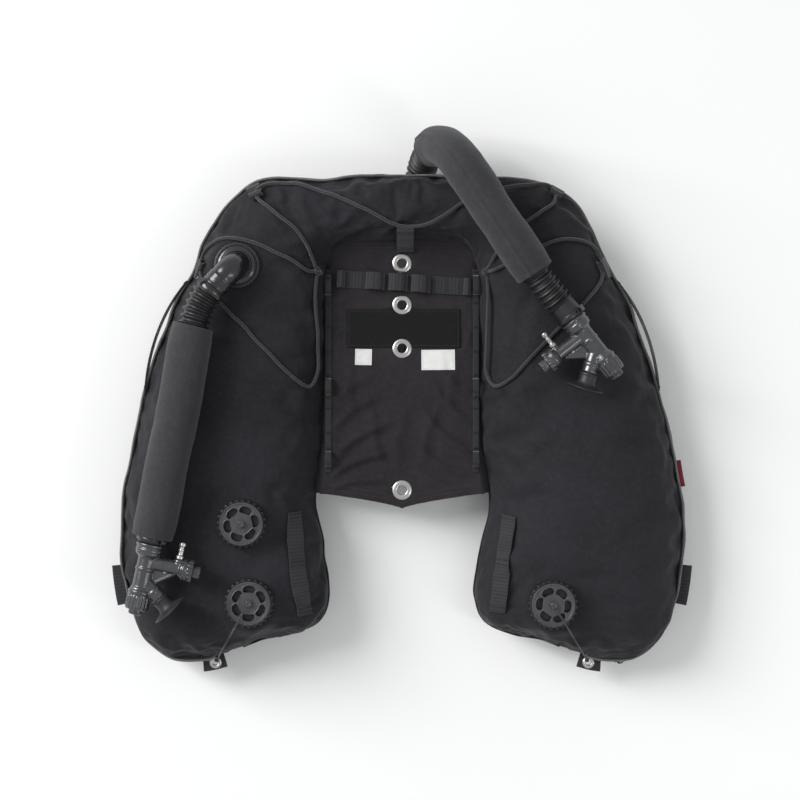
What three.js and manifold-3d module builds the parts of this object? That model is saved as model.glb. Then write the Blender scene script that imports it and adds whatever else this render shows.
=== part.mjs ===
// A dual-bladder buoyancy wing for scuba diving, lying on its back on the ground, tank side up.
// Millimetres, +X to the right, +Y towards the neck, +Z up. The origin is on the ground, under the
// middle of the wing.
import * as THREE from 'three';
import { mergeVertices } from 'three/addons/utils/BufferGeometryUtils.js';
import Module from 'manifold-3d';

const wasm = await Module();
wasm.setup();

// ---- driving dimensions ----

const GAP = 0.4; // between pieces that touch on the real object

// the horseshoe: stations from the tip of a lobe to the middle of the neck, for the right half.
// outer and inner are the edges of the lobe, above and below are the swell of the skin over and
// under the edge seam, and seam is the height of that seam
const STATIONS = [
  { outer: [213, -279], inner: [200, -275], above: 8, below: 8, seam: 46 },
  { outer: [248, -287], inner: [172, -265], above: 28, below: 25, seam: 47 },
  { outer: [290, -284], inner: [136, -257], above: 42, below: 37, seam: 48 },
  { outer: [322, -258], inner: [101, -241], above: 53, below: 46, seam: 48 },
  { outer: [337, -215], inner: [91, -208], above: 59, below: 50, seam: 48 },
  { outer: [344, -150], inner: [100, -150], above: 62, below: 52, seam: 48 },
  { outer: [341, -80], inner: [110, -95], above: 62, below: 52, seam: 48 },
  { outer: [326, -8], inner: [101, -20], above: 62, below: 52, seam: 48 },
  { outer: [308, 65], inner: [98, 55], above: 62, below: 52, seam: 48 },
  { outer: [280, 140], inner: [97, 130], above: 60, below: 51, seam: 50 },
  { outer: [250, 200], inner: [96, 185], above: 54, below: 44, seam: 56 },
  { outer: [232, 243], inner: [92, 209], above: 48, below: 38, seam: 62 },
  { outer: [203, 279], inner: [83, 221], above: 42, below: 34, seam: 68 },
  { outer: [160, 298], inner: [66, 228], above: 37, below: 31, seam: 73 },
  { outer: [95, 297], inner: [42, 230], above: 33, below: 30, seam: 76 },
  { outer: [45, 301], inner: [20, 230], above: 32, below: 30, seam: 76 },
  { outer: [0, 304], inner: [0, 230], above: 32, below: 30, seam: 76 },
];
const FULLNESS = 2.4; // exponent of the lobes' section; 2 is an ellipse
const SHELL_WALL = 2.5;
const BLADDER_WALL = 0.8;
const BLADDER_INSET = 14;
const SEAM_SLIT = 2; // from the seam line to the rim of each half shell

// the centre panel
const PANEL_TOP = 64;
const PANEL_THICKNESS = 4;
const PANEL_HALF_WIDTH = 94;
const PANEL_UPPER = 228;
const PANEL_LOWER = -84;
const PANEL_POINT = -102; // the tip of its scalloped lower edge
const PANEL_CORNER = 40;
const PLATE_HOLE_SPACING = 279.4; // 11 inches, the standard spacing of a diving backplate
const TOP_GROMMET_Y = 199;
const GROMMET_ROWS = [
  ['grommet_top', TOP_GROMMET_Y],
  ['grommet_upper_middle', 147.7],
  ['grommet_lower_middle', 94.4],
  ['grommet_bottom', TOP_GROMMET_Y - PLATE_HOLE_SPACING],
];
const GROMMET = { bore: 5.6, rim: 12 };

// webbing and cords
const WEBBING = 1.6; // thickness
const DAISY_CHAIN = { x: 3, y: 175, turn: -3.5, length: 168, width: 21 };
const EDGE_WEBBING = { x: 90.8, low: -58, high: 192, width: 6 };
const PATCH = { left: -68, right: 71.5, low: 95.2, high: 142.7, thickness: 2 };
const GRIP_WIDTH = 20;
// places on the rim are fractions of the way along it
const LOWER_TAB = { from: 0.1215, to: 0.1455, reach: 17 };
const BOTTOM_TAB = { from: 0.0085, to: 0.031, reach: 20, eye: 0.0195 };
const SIDE_STRAP = { from: 0.24, to: 0.299, width: 22, rise: 9, spans: 8 };
const BUNGEE = 5;
const PULL_CORD = 2;

// dump valves: the skirt of the cap, its slots, and the poppet's travel
const VALVES = [
  ['upper_left_dump', -193.6, -118.5],
  ['lower_left_dump', -184.7, -214.4],
  ['lower_right_dump', 182.5, -216.5],
];
const VALVE = { rim: 30, neck: 20, base: 3, skirt: 11, top: 15, teeth: 20, slots: 6, stem: 2.5 };

// hoses, from the elbow to the inflator, with the sleeve over part of the way
const HOSE = { outer: 19, inner: 16 };
const SLEEVE = { outer: 27, inner: 20.8 };
const ELBOW = { outer: 16.5, inner: 12.5 };
const LEFT_ELBOW = new THREE.Vector3(-199.7, 193.6, 0);
const RIGHT_ELBOW = new THREE.Vector3(16, 257, 0);
const LEFT_HOSE = [
  [-225.5, 165.9, 138],
  [-232.3, 158.6, 138],
  [-243, 140, 138.5],
  [-251, 114, 139],
  [-257.3, 79.6, 139],
  [-263.5, 42, 139],
  [-270.7, 4.9, 138.5],
  [-277.5, -25, 138],
  [-284.2, -58, 137],
  [-290.5, -94, 135],
  [-298.7, -129, 132],
  [-301.3, -140.7, 132],
];
const LEFT_SLEEVE_SPAN = [2 / 12, 0.98];
const RIGHT_HOSE = [
  [20, 290.5, 21],
  [21.4, 302.5, 21],
  [25, 319, 29],
  [31, 333, 48],
  [40, 341, 72],
  [50, 339, 100],
  [61, 328, 124],
  [73, 311, 141],
  [88, 288, 147],
  [105.4, 261, 148],
  [122, 237, 148],
  [138.4, 213, 148],
  [151, 194, 147],
  [163, 176, 145],
  [176, 160, 141],
  [187, 147.5, 138],
  [196.7, 136.9, 138],
  [204.1, 127.4, 138],
];
const RIGHT_SLEEVE_SPAN = [4 / 22, 18 / 22];
const HOSE_STEPS = { left: 12, right: 22 };

// the power inflators: position of the hose end and the heading of the body, in degrees
const INFLATORS = {
  left: { at: [-301.5, -141.5, 132], heading: -102.5, flipped: false },
  right: { at: [204.6, 126.8, 138], heading: -51.7, flipped: true },
};

// ---- solids and meshes ----

function weld(geometry) {
  const bare = geometry.clone();
  for (const name of Object.keys(bare.attributes)) {
    if (name !== 'position') bare.deleteAttribute(name);
  }
  const welded = mergeVertices(bare, 1e-4);
  const corners = welded.index.array;
  const kept = [];
  for (let i = 0; i < corners.length; i += 3) {
    const [a, b, c] = [corners[i], corners[i + 1], corners[i + 2]];
    if (a !== b && b !== c && c !== a) kept.push(a, b, c);
  }
  welded.setIndex(kept);
  return welded;
}

function solid(geometry) {
  const welded = weld(geometry);
  return new wasm.Manifold(new wasm.Mesh({
    numProp: 3,
    vertProperties: new Float32Array(welded.attributes.position.array),
    triVerts: new Uint32Array(welded.index.array),
  }));
}

function geometryOf(body) {
  const mesh = body.getMesh();
  const geometry = new THREE.BufferGeometry();
  geometry.setAttribute('position', new THREE.BufferAttribute(mesh.vertProperties, 3));
  geometry.setIndex(new THREE.BufferAttribute(mesh.triVerts, 1));
  return geometry;
}

function joined(first, ...others) {
  return others.reduce((sum, each) => sum.add(solid(each)), solid(first));
}

function cut(body, ...tools) {
  return tools.reduce((left, each) => left.subtract(solid(each)), body);
}

// a stack of rings of points joined side by side, with both ends closed
function loft(rings) {
  const count = rings[0].length;
  const positions = rings.flat().flatMap((point) => [point.x, point.y, point.z]);
  const faces = [];
  for (let i = 0; i + 1 < rings.length; i += 1) {
    for (let j = 0; j < count; j += 1) {
      const k = (j + 1) % count;
      const [a, b, c, d] = [i * count + j, i * count + k, (i + 1) * count + k, (i + 1) * count + j];
      faces.push(a, b, c, a, c, d);
    }
  }
  const last = (rings.length - 1) * count;
  endFaces(rings[0]).forEach(([a, b, c]) => faces.push(c, b, a));
  endFaces(rings.at(-1)).forEach(([a, b, c]) => faces.push(last + a, last + b, last + c));
  const geometry = new THREE.BufferGeometry();
  geometry.setAttribute('position', new THREE.Float32BufferAttribute(positions, 3));
  geometry.setIndex(faces);
  return volumeOf(geometry) < 0 ? turnedOut(geometry) : geometry;
}

// the triangles of a flat ring of points, wound the way the ring runs
function endFaces(ring) {
  const normal = new THREE.Vector3();
  ring.forEach((point, i) => {
    const next = ring[(i + 1) % ring.length];
    normal.add(new THREE.Vector3().crossVectors(point, next));
  });
  const across = new THREE.Vector3().subVectors(ring[1], ring[0]).normalize();
  const up = new THREE.Vector3().crossVectors(normal, across).normalize();
  const flat = ring.map((point) => new THREE.Vector2(point.dot(across), point.dot(up)));
  return THREE.ShapeUtils.triangulateShape(flat, []);
}

function volumeOf(geometry) {
  const position = geometry.attributes.position;
  const corner = [0, 1, 2].map(() => new THREE.Vector3());
  let sum = 0;
  for (let i = 0; i < geometry.index.count; i += 3) {
    corner.forEach((point, j) => point.fromBufferAttribute(position, geometry.index.getX(i + j)));
    sum += corner[0].dot(new THREE.Vector3().crossVectors(corner[1], corner[2]));
  }
  return sum / 6;
}

function turnedOut(geometry) {
  const corners = Array.from(geometry.index.array);
  for (let i = 0; i < corners.length; i += 3) {
    [corners[i], corners[i + 2]] = [corners[i + 2], corners[i]];
  }
  geometry.setIndex(corners);
  return geometry;
}

// a body of revolution about Z, from [radius, height] points
function turned(profile, sides) {
  const points = profile.map(([radius, height]) => new THREE.Vector2(radius, height));
  const geometry = weld(new THREE.LatheGeometry(points, sides).rotateX(Math.PI / 2));
  return volumeOf(geometry) < 0 ? turnedOut(geometry) : geometry;
}

function rod(radius, from, to, sides = 12) {
  return turned([[0, from], [radius, from], [radius, to], [0, to]], sides);
}

function alongX(geometry) {
  return geometry.rotateY(Math.PI / 2);
}

function alongY(geometry) {
  return geometry.rotateX(-Math.PI / 2);
}

function extruded(points, depth, holes = []) {
  const shape = new THREE.Shape(points);
  shape.holes = holes.map((hole) => new THREE.Path(hole));
  return new THREE.ExtrudeGeometry(shape, { depth, bevelEnabled: false, steps: 1 });
}

function circle(radius, sides, x = 0, y = 0, turn = 0) {
  return Array.from({ length: sides }, (_, i) => {
    const angle = turn + (2 * Math.PI * i) / sides;
    return new THREE.Vector2(x + radius * Math.cos(angle), y + radius * Math.sin(angle));
  });
}

// a hollow tube along a curve
function pipe(curve, steps, outer, inner, sides = 10) {
  const shape = new THREE.Shape(circle(outer, sides));
  shape.holes.push(new THREE.Path(circle(inner, sides)));
  return new THREE.ExtrudeGeometry(shape, { steps, extrudePath: curve, bevelEnabled: false });
}

function cord(curve, steps, diameter) {
  const shape = new THREE.Shape(circle(diameter / 2, 8));
  return new THREE.ExtrudeGeometry(shape, { steps, extrudePath: curve, bevelEnabled: false });
}

const toVectors = (points) => points.map((point) => new THREE.Vector3(...point));
const smooth = (points) => new THREE.CatmullRomCurve3(points, false, 'centripetal');

// the stretch of a curve between two fractions of its length
class Stretch extends THREE.Curve {
  constructor(whole, from, to) {
    super();
    this.whole = whole;
    this.from = from;
    this.to = to;
  }

  getPoint(t, target = new THREE.Vector3()) {
    return this.whole.getPointAt(this.from + (this.to - this.from) * t, target);
  }
}

// a strip of webbing bent along [along, height] points, laid out along X, its width along Y
function ribbon(points, width, thickness = WEBBING) {
  const line = points.map(([along, height]) => new THREE.Vector2(along, height));
  const sides = [[], []];
  line.forEach((point, i) => {
    const before = line[Math.max(i - 1, 0)];
    const after = line[Math.min(i + 1, line.length - 1)];
    const way = new THREE.Vector2().subVectors(after, before).normalize();
    const off = new THREE.Vector2(-way.y, way.x).multiplyScalar(thickness / 2);
    sides[0].push(point.clone().add(off));
    sides[1].unshift(point.clone().sub(off));
  });
  return extruded(sides.flat(), width).rotateX(Math.PI / 2).translate(0, width / 2, 0);
}

// the side view of a band with arched loops: each loop is [middle, span, rise]
function loopedLine(from, to, loops) {
  const points = [[from, 0]];
  for (const [middle, span, rise] of loops) {
    points.push([middle - span / 2, 0]);
    points.push([middle - span * 0.36, rise * 0.8]);
    points.push([middle - span * 0.12, rise]);
    points.push([middle + span * 0.12, rise]);
    points.push([middle + span * 0.36, rise * 0.8]);
    points.push([middle + span / 2, 0]);
  }
  points.push([to, 0]);
  return points;
}

// ---- the horseshoe's surfaces ----

function mirroredStations() {
  const left = STATIONS.map(({ outer, inner, ...rest }) => ({
    outer: [-outer[0], outer[1]],
    inner: [-inner[0], inner[1]],
    ...rest,
  }));
  return [...left, ...STATIONS.slice(0, -1).reverse()];
}

const horseshoe = mirroredStations();
const along = (pick) => new THREE.CatmullRomCurve3(horseshoe.map(pick), false, 'catmullrom');
const outerRail = along(({ outer, seam }) => new THREE.Vector3(...outer, seam));
const innerRail = along(({ inner, seam }) => new THREE.Vector3(...inner, seam));
const swell = along(({ above, below }) => new THREE.Vector3(above, below, 0));

// a point of the section at t: across runs from -1 at the inner edge to 1 at the outer edge
function sectionPoint(t, across, height, inset = 0) {
  const outer = outerRail.getPoint(t);
  const inner = innerRail.getPoint(t);
  const middle = new THREE.Vector3().addVectors(outer, inner).multiplyScalar(0.5);
  const half = new THREE.Vector3().subVectors(outer, inner).multiplyScalar(0.5);
  const reach = Math.max(half.length() - inset, 1);
  return middle.addScaledVector(half.normalize(), reach * across).setZ(height);
}

// the points of a half section, from the inner edge to the outer one
function arch(t, spans, inset, heightAt) {
  return Array.from({ length: spans + 1 }, (_, i) => {
    const angle = (Math.PI * i) / spans;
    const across = -Math.sign(Math.cos(angle)) * Math.abs(Math.cos(angle)) ** (2 / FULLNESS);
    const lift = Math.abs(Math.sin(angle)) ** (2 / FULLNESS);
    return sectionPoint(t, across, heightAt(lift), inset);
  });
}

const crown = (across) => Math.max(1 - Math.abs(across) ** FULLNESS, 0) ** (1 / FULLNESS);

// the height of the front or back skin over a point of the plan
function skinHeight(x, y, side = 1) {
  const point = new THREE.Vector3(x, y, 0);
  let best = { distance: Infinity };
  for (let i = 0; i <= 640; i += 1) {
    const t = i / 640;
    const outer = outerRail.getPoint(t).setZ(0);
    const inner = innerRail.getPoint(t).setZ(0);
    const line = new THREE.Line3(inner, outer);
    const share = line.closestPointToPointParameter(point, true);
    const distance = line.at(share, new THREE.Vector3()).distanceTo(point);
    if (distance < best.distance) best = { distance, t, share };
  }
  const { x: above, y: below } = swell.getPoint(best.t);
  const seam = outerRail.getPoint(best.t).z;
  const lift = crown(2 * best.share - 1);
  return side > 0 ? seam + above * lift : Math.max(seam - below * lift, 0);
}

// a point held off the front skin, square to it
function overSkin(x, y, standoff) {
  const step = 2;
  const slopeX = (skinHeight(x + step, y) - skinHeight(x - step, y)) / (2 * step);
  const slopeY = (skinHeight(x, y + step) - skinHeight(x, y - step)) / (2 * step);
  const normal = new THREE.Vector3(-slopeX, -slopeY, 1).normalize();
  const point = new THREE.Vector3(x, y, skinHeight(x, y)).addScaledVector(normal, standoff);
  return { point, normal };
}

// the height at which a flat flange rests on the front skin or under the back skin
function seatHeight(x, y, radius, side = 1) {
  const rim = circle(radius, 12, x, y).map((point) => skinHeight(point.x, point.y, side));
  const heights = [skinHeight(x, y, side), ...rim];
  return side > 0 ? Math.max(...heights) + GAP : Math.min(...heights) - GAP;
}

const TIP = 0.004; // the sections stop just short of the very tip
const sections = (count) => Array.from({ length: count + 1 }, (_, i) => (
  TIP + ((1 - 2 * TIP) * i) / count));

function halfShell(side) {
  const spans = 6;
  return loft(sections(34).map((t) => {
    const { x: above, y: below } = swell.getPoint(t);
    const seam = outerRail.getPoint(t).z;
    const rise = (side > 0 ? above : below) - SEAM_SLIT;
    const rim = seam + side * SEAM_SLIT;
    const outside = arch(t, spans, 0, (lift) => Math.max(rim + side * rise * lift, 0));
    const inside = arch(t, spans, SHELL_WALL, (lift) => (
      Math.max(rim + side * Math.max(rise - SHELL_WALL, 1) * lift, SHELL_WALL)));
    return [...outside, ...inside.reverse()];
  }));
}

// one air cell: the space between the seam and a half shell, with an inward offset
function airCell(side, offset) {
  const spans = 4;
  const far = SHELL_WALL + 3.5 + offset;
  const endSpans = offset > 0 ? 3 : 2;
  return loft(sections(34).slice(endSpans, -endSpans).map((t) => {
    const { x: above, y: below } = swell.getPoint(t);
    const seam = outerRail.getPoint(t).z;
    const floor = seam + side * (1 + offset);
    const limit = SHELL_WALL + 1 + offset;
    const rise = Math.max((side > 0 ? above : Math.min(below, seam)) - far - 1 - offset, 1);
    const inset = BLADDER_INSET + offset;
    const upper = arch(t, spans, inset, (lift) => Math.max(floor + side * rise * lift, limit));
    const lower = [0.5, -0.5].map((across) => sectionPoint(t, across, floor, inset));
    return [...upper, ...lower];
  }));
}

function bladder(side, ports) {
  return geometryOf(cut(solid(airCell(side, 0)), airCell(side, BLADDER_WALL), ...ports));
}

// ---- the scene graph ----

const group = new THREE.Group();

const PAINTS = {
  shell: [0x1f1f25, 0.9, 0],
  panel: [0x2f2a30, 0.92, 0],
  bladder: [0x3b4a6b, 0.6, 0],
  webbing: [0x17171a, 0.85, 0],
  bungee: [0x1d1d20, 0.7, 0],
  sleeve: [0x2b2b31, 0.85, 0],
  hose: [0x141416, 0.45, 0],
  plastic: [0x26262b, 0.35, 0],
  button: [0x323238, 0.4, 0],
  rubber: [0x18181a, 0.6, 0],
  nickel: [0xd8d6d0, 0.25, 1],
  loop: [0x0e0e10, 1, 0],
};

function add(parent, name, geometry, paint) {
  const [color, roughness, metalness] = PAINTS[paint];
  const material = new THREE.MeshStandardMaterial({ color, roughness, metalness });
  const mesh = new THREE.Mesh(weld(geometry), material);
  mesh.name = name;
  parent.add(mesh);
  return mesh;
}

function nested(parent, x = 0, y = 0, z = 0) {
  const inner = new THREE.Group();
  inner.position.set(x, y, z);
  parent.add(inner);
  return inner;
}

// ---- shells, bladders and the zip between them ----

const leftSeat = seatHeight(LEFT_ELBOW.x, LEFT_ELBOW.y, 28);
const rightSeat = seatHeight(RIGHT_ELBOW.x, RIGHT_ELBOW.y, 22, -1);
const valveSeats = VALVES.map(([, x, y]) => seatHeight(x, y, 28));

function port(x, y, radius, low, high) {
  return rod(radius, low, high, 14).translate(x, y, 0);
}

function addShells() {
  const through = VALVE.neck + 0.5;
  const frontPorts = VALVES.map(([, x, y], i) => (
    port(x, y, through, valveSeats[i] - 14, valveSeats[i] + 9)));
  frontPorts.push(port(LEFT_ELBOW.x, LEFT_ELBOW.y, through, leftSeat - 14, leftSeat + 9));
  const backPort = port(RIGHT_ELBOW.x, RIGHT_ELBOW.y, through, rightSeat - 9, rightSeat + 14);
  add(group, 'front_shell', geometryOf(cut(solid(halfShell(1)), ...frontPorts)), 'shell');
  add(group, 'back_shell', geometryOf(cut(solid(halfShell(-1)), backPort)), 'shell');
  add(group, 'front_bladder', bladder(1, frontPorts), 'bladder');
  add(group, 'back_bladder', bladder(-1, [backPort]), 'bladder');
}

// a point of the outer edge pushed outwards in plan
function edgePoint(t, outwards, height) {
  const point = outerRail.getPoint(t);
  const way = outerRail.getTangent(t).setZ(0).normalize();
  const out = new THREE.Vector3(-way.y, way.x, 0);
  return point.addScaledVector(out, outwards).setZ(point.z + height);
}

function addZip() {
  const [inside, outside, half] = [-1, 2, 1.1];
  const spans = 56;
  const rings = Array.from({ length: spans + 1 }, (_, i) => {
    const t = 0.03 + (0.94 * i) / spans;
    return [[inside, -half], [outside, -half], [outside, half], [inside, half]]
      .map(([outwards, height]) => edgePoint(t, outwards, height));
  });
  add(group, 'perimeter_zip', loft(rings), 'webbing');
}

// ---- the centre panel and what is sewn on it ----

function panelOutline() {
  const shape = new THREE.Shape();
  const [w, r] = [PANEL_HALF_WIDTH, PANEL_CORNER];
  shape.moveTo(-w, PANEL_LOWER);
  shape.quadraticCurveTo(-w * 0.45, PANEL_LOWER - 2, 0, PANEL_POINT);
  shape.quadraticCurveTo(w * 0.45, PANEL_LOWER - 2, w, PANEL_LOWER);
  shape.lineTo(w, PANEL_UPPER - r);
  shape.absarc(w - r, PANEL_UPPER - r, r, 0, Math.PI / 2);
  shape.lineTo(r - w, PANEL_UPPER);
  shape.absarc(r - w, PANEL_UPPER - r, r, Math.PI / 2, Math.PI);
  return shape;
}

function addPanel() {
  const shape = panelOutline();
  shape.holes = GROMMET_ROWS.map(([, y]) => new THREE.Path(circle(7.6, 12, 0, y)));
  const options = { depth: PANEL_THICKNESS, bevelEnabled: false, curveSegments: 5 };
  const panel = new THREE.ExtrudeGeometry(shape, options);
  add(nested(group, 0, 0, PANEL_TOP - PANEL_THICKNESS), 'center_panel', panel, 'panel');
}

function grommet({ bore, rim }, grip) {
  const neck = Math.min(7.2, rim - 3.2);
  const lip = 1.1;
  return turned([
    [bore, -grip], [rim, -grip], [rim, lip - grip], [neck, lip - grip],
    [neck, grip - lip], [rim, grip - lip], [rim, grip], [bore, grip], [bore, -grip],
  ], 14);
}

function addGrommets() {
  const grip = PANEL_THICKNESS / 2 + GAP + 1.1;
  for (const [name, y] of GROMMET_ROWS) {
    const place = nested(group, 0, y, PANEL_TOP - PANEL_THICKNESS / 2);
    add(place, name, grommet(GROMMET, grip), 'nickel');
  }
}

function addPatch() {
  const { left, right, low, high, thickness } = PATCH;
  const corners = [[left, low], [right, low], [right, high], [left, high]];
  const outline = corners.map((corner) => new THREE.Vector2(...corner));
  const patch = solid(extruded(outline, thickness));
  const rings = GROMMET_ROWS.map(([, y]) => port(0, y, GROMMET.rim + GAP, -1, thickness + 1));
  add(nested(group, 0, 0, PANEL_TOP + GAP), 'loop_patch', geometryOf(cut(patch, ...rings)), 'loop');
}

function addDaisyChain() {
  const loops = [[-78, 9, 7], [-36, 24, 10], [-8, 24, 10], [20, 24, 10], [78, 9, 7]];
  const { x, y, turn, length, width } = DAISY_CHAIN;
  const place = nested(group, x, y, PANEL_TOP + GAP + WEBBING / 2);
  place.rotation.z = THREE.MathUtils.degToRad(turn);
  const strap = ribbon(loopedLine(-length / 2, length / 2, loops), width);
  add(place, 'daisy_chain_webbing', strap, 'webbing');
}

function addPanelEdgeWebbing() {
  const loops = [[-42, 20, 8], [47, 22, 9], [172, 26, 10]];
  const { x, low, high, width } = EDGE_WEBBING;
  for (const [name, side] of [['left', -1], ['right', 1]]) {
    const strap = ribbon(loopedLine(low, high, loops), width).rotateZ(Math.PI / 2);
    const place = nested(group, side * x, 0, PANEL_TOP + GAP + WEBBING / 2);
    add(place, `panel_edge_webbing_${name}`, strap, 'webbing');
  }
}

// ---- webbing on the rim of the shell ----

// a flat tab sewn to the outer edge between two fractions of the rail
function rimTab(from, to, reach, low, high, spans = 3) {
  const rings = Array.from({ length: spans + 1 }, (_, i) => {
    const t = from + ((to - from) * i) / spans;
    return [[0.8, low], [reach, low], [reach, high], [0.8, high]]
      .map(([outwards, height]) => edgePoint(t, outwards, height));
  });
  return loft(rings);
}

const onBothSides = [['left', (t) => t], ['right', (t) => 1 - t]];

function addRimTabs() {
  for (const [name, place] of onBothSides) {
    add(group, `lower_side_tab_${name}`, rimTab(place(LOWER_TAB.from), place(LOWER_TAB.to), LOWER_TAB.reach, -6, -3), 'webbing');
    const bottom = solid(rimTab(place(BOTTOM_TAB.from), place(BOTTOM_TAB.to), BOTTOM_TAB.reach, -6.5, -4, 2));
    const eye = bottomEye(place(BOTTOM_TAB.eye));
    const hole = rod(4.6, -10, 10).translate(eye.x, eye.y, eye.z);
    add(group, `bottom_tab_${name}`, geometryOf(bottom.subtract(solid(hole))), 'webbing');
    const ring = grommet({ bore: 3.2, rim: 7.5 }, 2.75);
    add(nested(group, eye.x, eye.y, eye.z), `bottom_tab_grommet_${name}`, ring, 'nickel');
  }
}

const bottomEye = (t) => edgePoint(t, 11, -5.25);

function addSideStraps() {
  const { from, to, width, rise, spans } = SIDE_STRAP;
  for (const [name, place] of onBothSides) {
    const rings = Array.from({ length: spans + 1 }, (_, i) => {
      const bow = 2.8 + rise * Math.sin((Math.PI * i) / spans);
      const t = place(from + ((to - from) * i) / spans);
      return [[bow, -width / 2], [bow + WEBBING, -width / 2], [bow + WEBBING, width / 2], [bow, width / 2]]
        .map(([outwards, height]) => edgePoint(t, outwards, height));
    });
    add(group, `side_strap_${name}`, loft(rings), 'webbing');
  }
}

// a strap that follows the front skin along plan points
function skinStrap(points, width, spans, standoffAt) {
  const line = smooth(points.map(([x, y]) => new THREE.Vector3(x, y, 0)));
  const rings = Array.from({ length: spans + 1 }, (_, i) => {
    const s = i / spans;
    const middle = line.getPoint(s);
    const way = line.getTangent(s);
    const side = new THREE.Vector3(-way.y, way.x, 0).multiplyScalar(width / 2);
    const low = standoffAt(s);
    const edges = [-1, 0, 1].map((share) => middle.clone().addScaledVector(side, share));
    const under = edges.map((edge) => overSkin(edge.x, edge.y, low).point);
    const over = edges.map((edge) => overSkin(edge.x, edge.y, low + WEBBING).point);
    return [...under, ...over.reverse()];
  });
  return loft(rings);
}

function addGrips() {
  const arches = (s) => 1.8 + 3.4 * Math.abs(Math.sin(2 * Math.PI * s));
  const lines = {
    left: [[-131, -106], [-127, -172], [-118, -232]],
    right: [[131, -110], [124, -156], [116, -228]],
  };
  for (const [name, line] of Object.entries(lines)) {
    add(group, `grip_webbing_${name}`, skinStrap(line, GRIP_WIDTH, 10, arches), 'webbing');
  }
}

// ---- the bungee and the loops that hold it ----

const BUNGEE_STANDOFF = 6.1;
const BUNGEE_PLAN = [
  [-108, 186], [-123, 193], [-152, 208], [-178, 221], [-203, 226], [-224, 222], [-238, 211],
  [-243, 198], [-244, 184], [-239, 172], [-214, 142], [-190, 118], [-156, 82], [-124, 50],
  [-114, 47], [-105, 63], [-105, 97], [-107, 154], [-108, 172],
];
const BUNGEE_TOP_PLAN = [
  [-109, 201], [-126, 234], [-151, 257], [-170, 271], [-179, 280], [-169, 290], [-125, 290],
  [-76, 275], [-27, 253], [-2, 243], [20, 243], [46, 252], [71, 268], [98, 279], [124, 288],
  [156, 291], [175, 291], [187, 283], [184, 270], [148, 245], [124, 219], [109, 198],
];

function overPlan(plan, standoff) {
  return smooth(plan.map(([x, y]) => overSkin(x, y, standoff).point));
}

// a webbing loop around a cord: a flat ring drawn along Z
function cordLoop(width) {
  const [w, h] = [6.4, 3.3];
  const box = (x, y) => [[-x, -y], [x, -y], [x, y], [-x, y]].map((at) => new THREE.Vector2(...at));
  return extruded(box(w + 1.2, h + 1.2), width, [box(w, h)]).translate(0, 0, -width / 2);
}

function addCordLoop(name, curve, near, width) {
  const steps = 400;
  const points = curve.getSpacedPoints(steps);
  const target = new THREE.Vector2(...near);
  const distances = points.map((point) => Math.hypot(point.x - target.x, point.y - target.y));
  const s = distances.indexOf(Math.min(...distances)) / steps;
  const at = curve.getPointAt(s);
  const forward = curve.getTangentAt(s);
  const { normal } = overSkin(near[0], near[1], 0);
  const side = new THREE.Vector3().crossVectors(normal, forward).normalize();
  const up = new THREE.Vector3().crossVectors(forward, side);
  const place = nested(group, at.x, at.y, at.z);
  place.quaternion.setFromRotationMatrix(new THREE.Matrix4().makeBasis(side, up, forward));
  add(place, name, cordLoop(width), 'webbing');
}

function addBungee() {
  const left = overPlan(BUNGEE_PLAN, BUNGEE_STANDOFF);
  const rightPlan = BUNGEE_PLAN.map(([x, y]) => [-x, y]);
  const right = overPlan(rightPlan, BUNGEE_STANDOFF);
  const top = overPlan(BUNGEE_TOP_PLAN, BUNGEE_STANDOFF);
  add(group, 'bungee_left', cord(left, 32, BUNGEE), 'bungee');
  add(group, 'bungee_right', cord(right, 32, BUNGEE), 'bungee');
  add(group, 'bungee_top', cord(top, 42, BUNGEE), 'bungee');
  addCordLoop('bungee_tab_upper_left', top, [-179, 280], 7);
  addCordLoop('bungee_tab_upper_right', top, [187, 282], 7);
  addCordLoop('bungee_tab_side_left', left, [-244, 190], 10);
  addCordLoop('bungee_tab_side_right', right, [244, 190], 10);
}

// ---- dump valves ----

function serrated(radius, depth, teeth) {
  return Array.from({ length: teeth * 2 }, (_, i) => {
    const angle = (Math.PI * i) / teeth;
    const reach = radius - (i % 2) * depth;
    return new THREE.Vector2(reach * Math.cos(angle), reach * Math.sin(angle));
  });
}

function valveBase() {
  const { neck, base } = VALVE;
  const wall = 3;
  return turned([
    [neck - wall, -12], [neck, -12], [neck, 0], [28, 0], [28, base],
    [9, base], [9, base - 2], [neck - wall, base - 2], [neck - wall, -12],
  ], 16);
}

function valveCap() {
  const { rim, base, skirt, top, teeth, slots, stem } = VALVE;
  const outline = serrated(rim, 1.8, teeth);
  const skirtRing = extruded(outline, skirt - base - GAP + 0.5, [circle(25, 20)]);
  const slot = (i) => {
    const angle = (2 * Math.PI * i) / slots;
    return circle(3.6, 6).map((point) => {
      const stretched = new THREE.Vector2(point.x, point.y * 1.9);
      return stretched.add(new THREE.Vector2(17, 0)).rotateAround(new THREE.Vector2(), angle);
    });
  };
  const holes = Array.from({ length: slots }, (_, i) => slot(i));
  const plate = extruded(circle(26.5, 20), top - skirt, [circle(stem + 0.6, 12), ...holes]);
  return geometryOf(joined(skirtRing.translate(0, 0, base + GAP), plate.translate(0, 0, skirt)));
}

function valvePoppet() {
  const { base, top, stem } = VALVE;
  const seat = base + GAP;
  return turned([
    [0, seat], [12, seat], [12, seat + 2], [stem, seat + 2], [stem, top + 1.5],
    [4.2, top + 1.5], [4.2, top + 4.5], [0, top + 4.5],
  ], 14);
}

function addValves() {
  VALVES.forEach(([name, x, y], i) => {
    const place = nested(group, x, y, valveSeats[i]);
    add(place, `${name}_base`, valveBase(), 'plastic');
    add(place, `${name}_cap`, valveCap(), 'plastic');
    add(place, `${name}_poppet`, valvePoppet(), 'button');
  });
}

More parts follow.
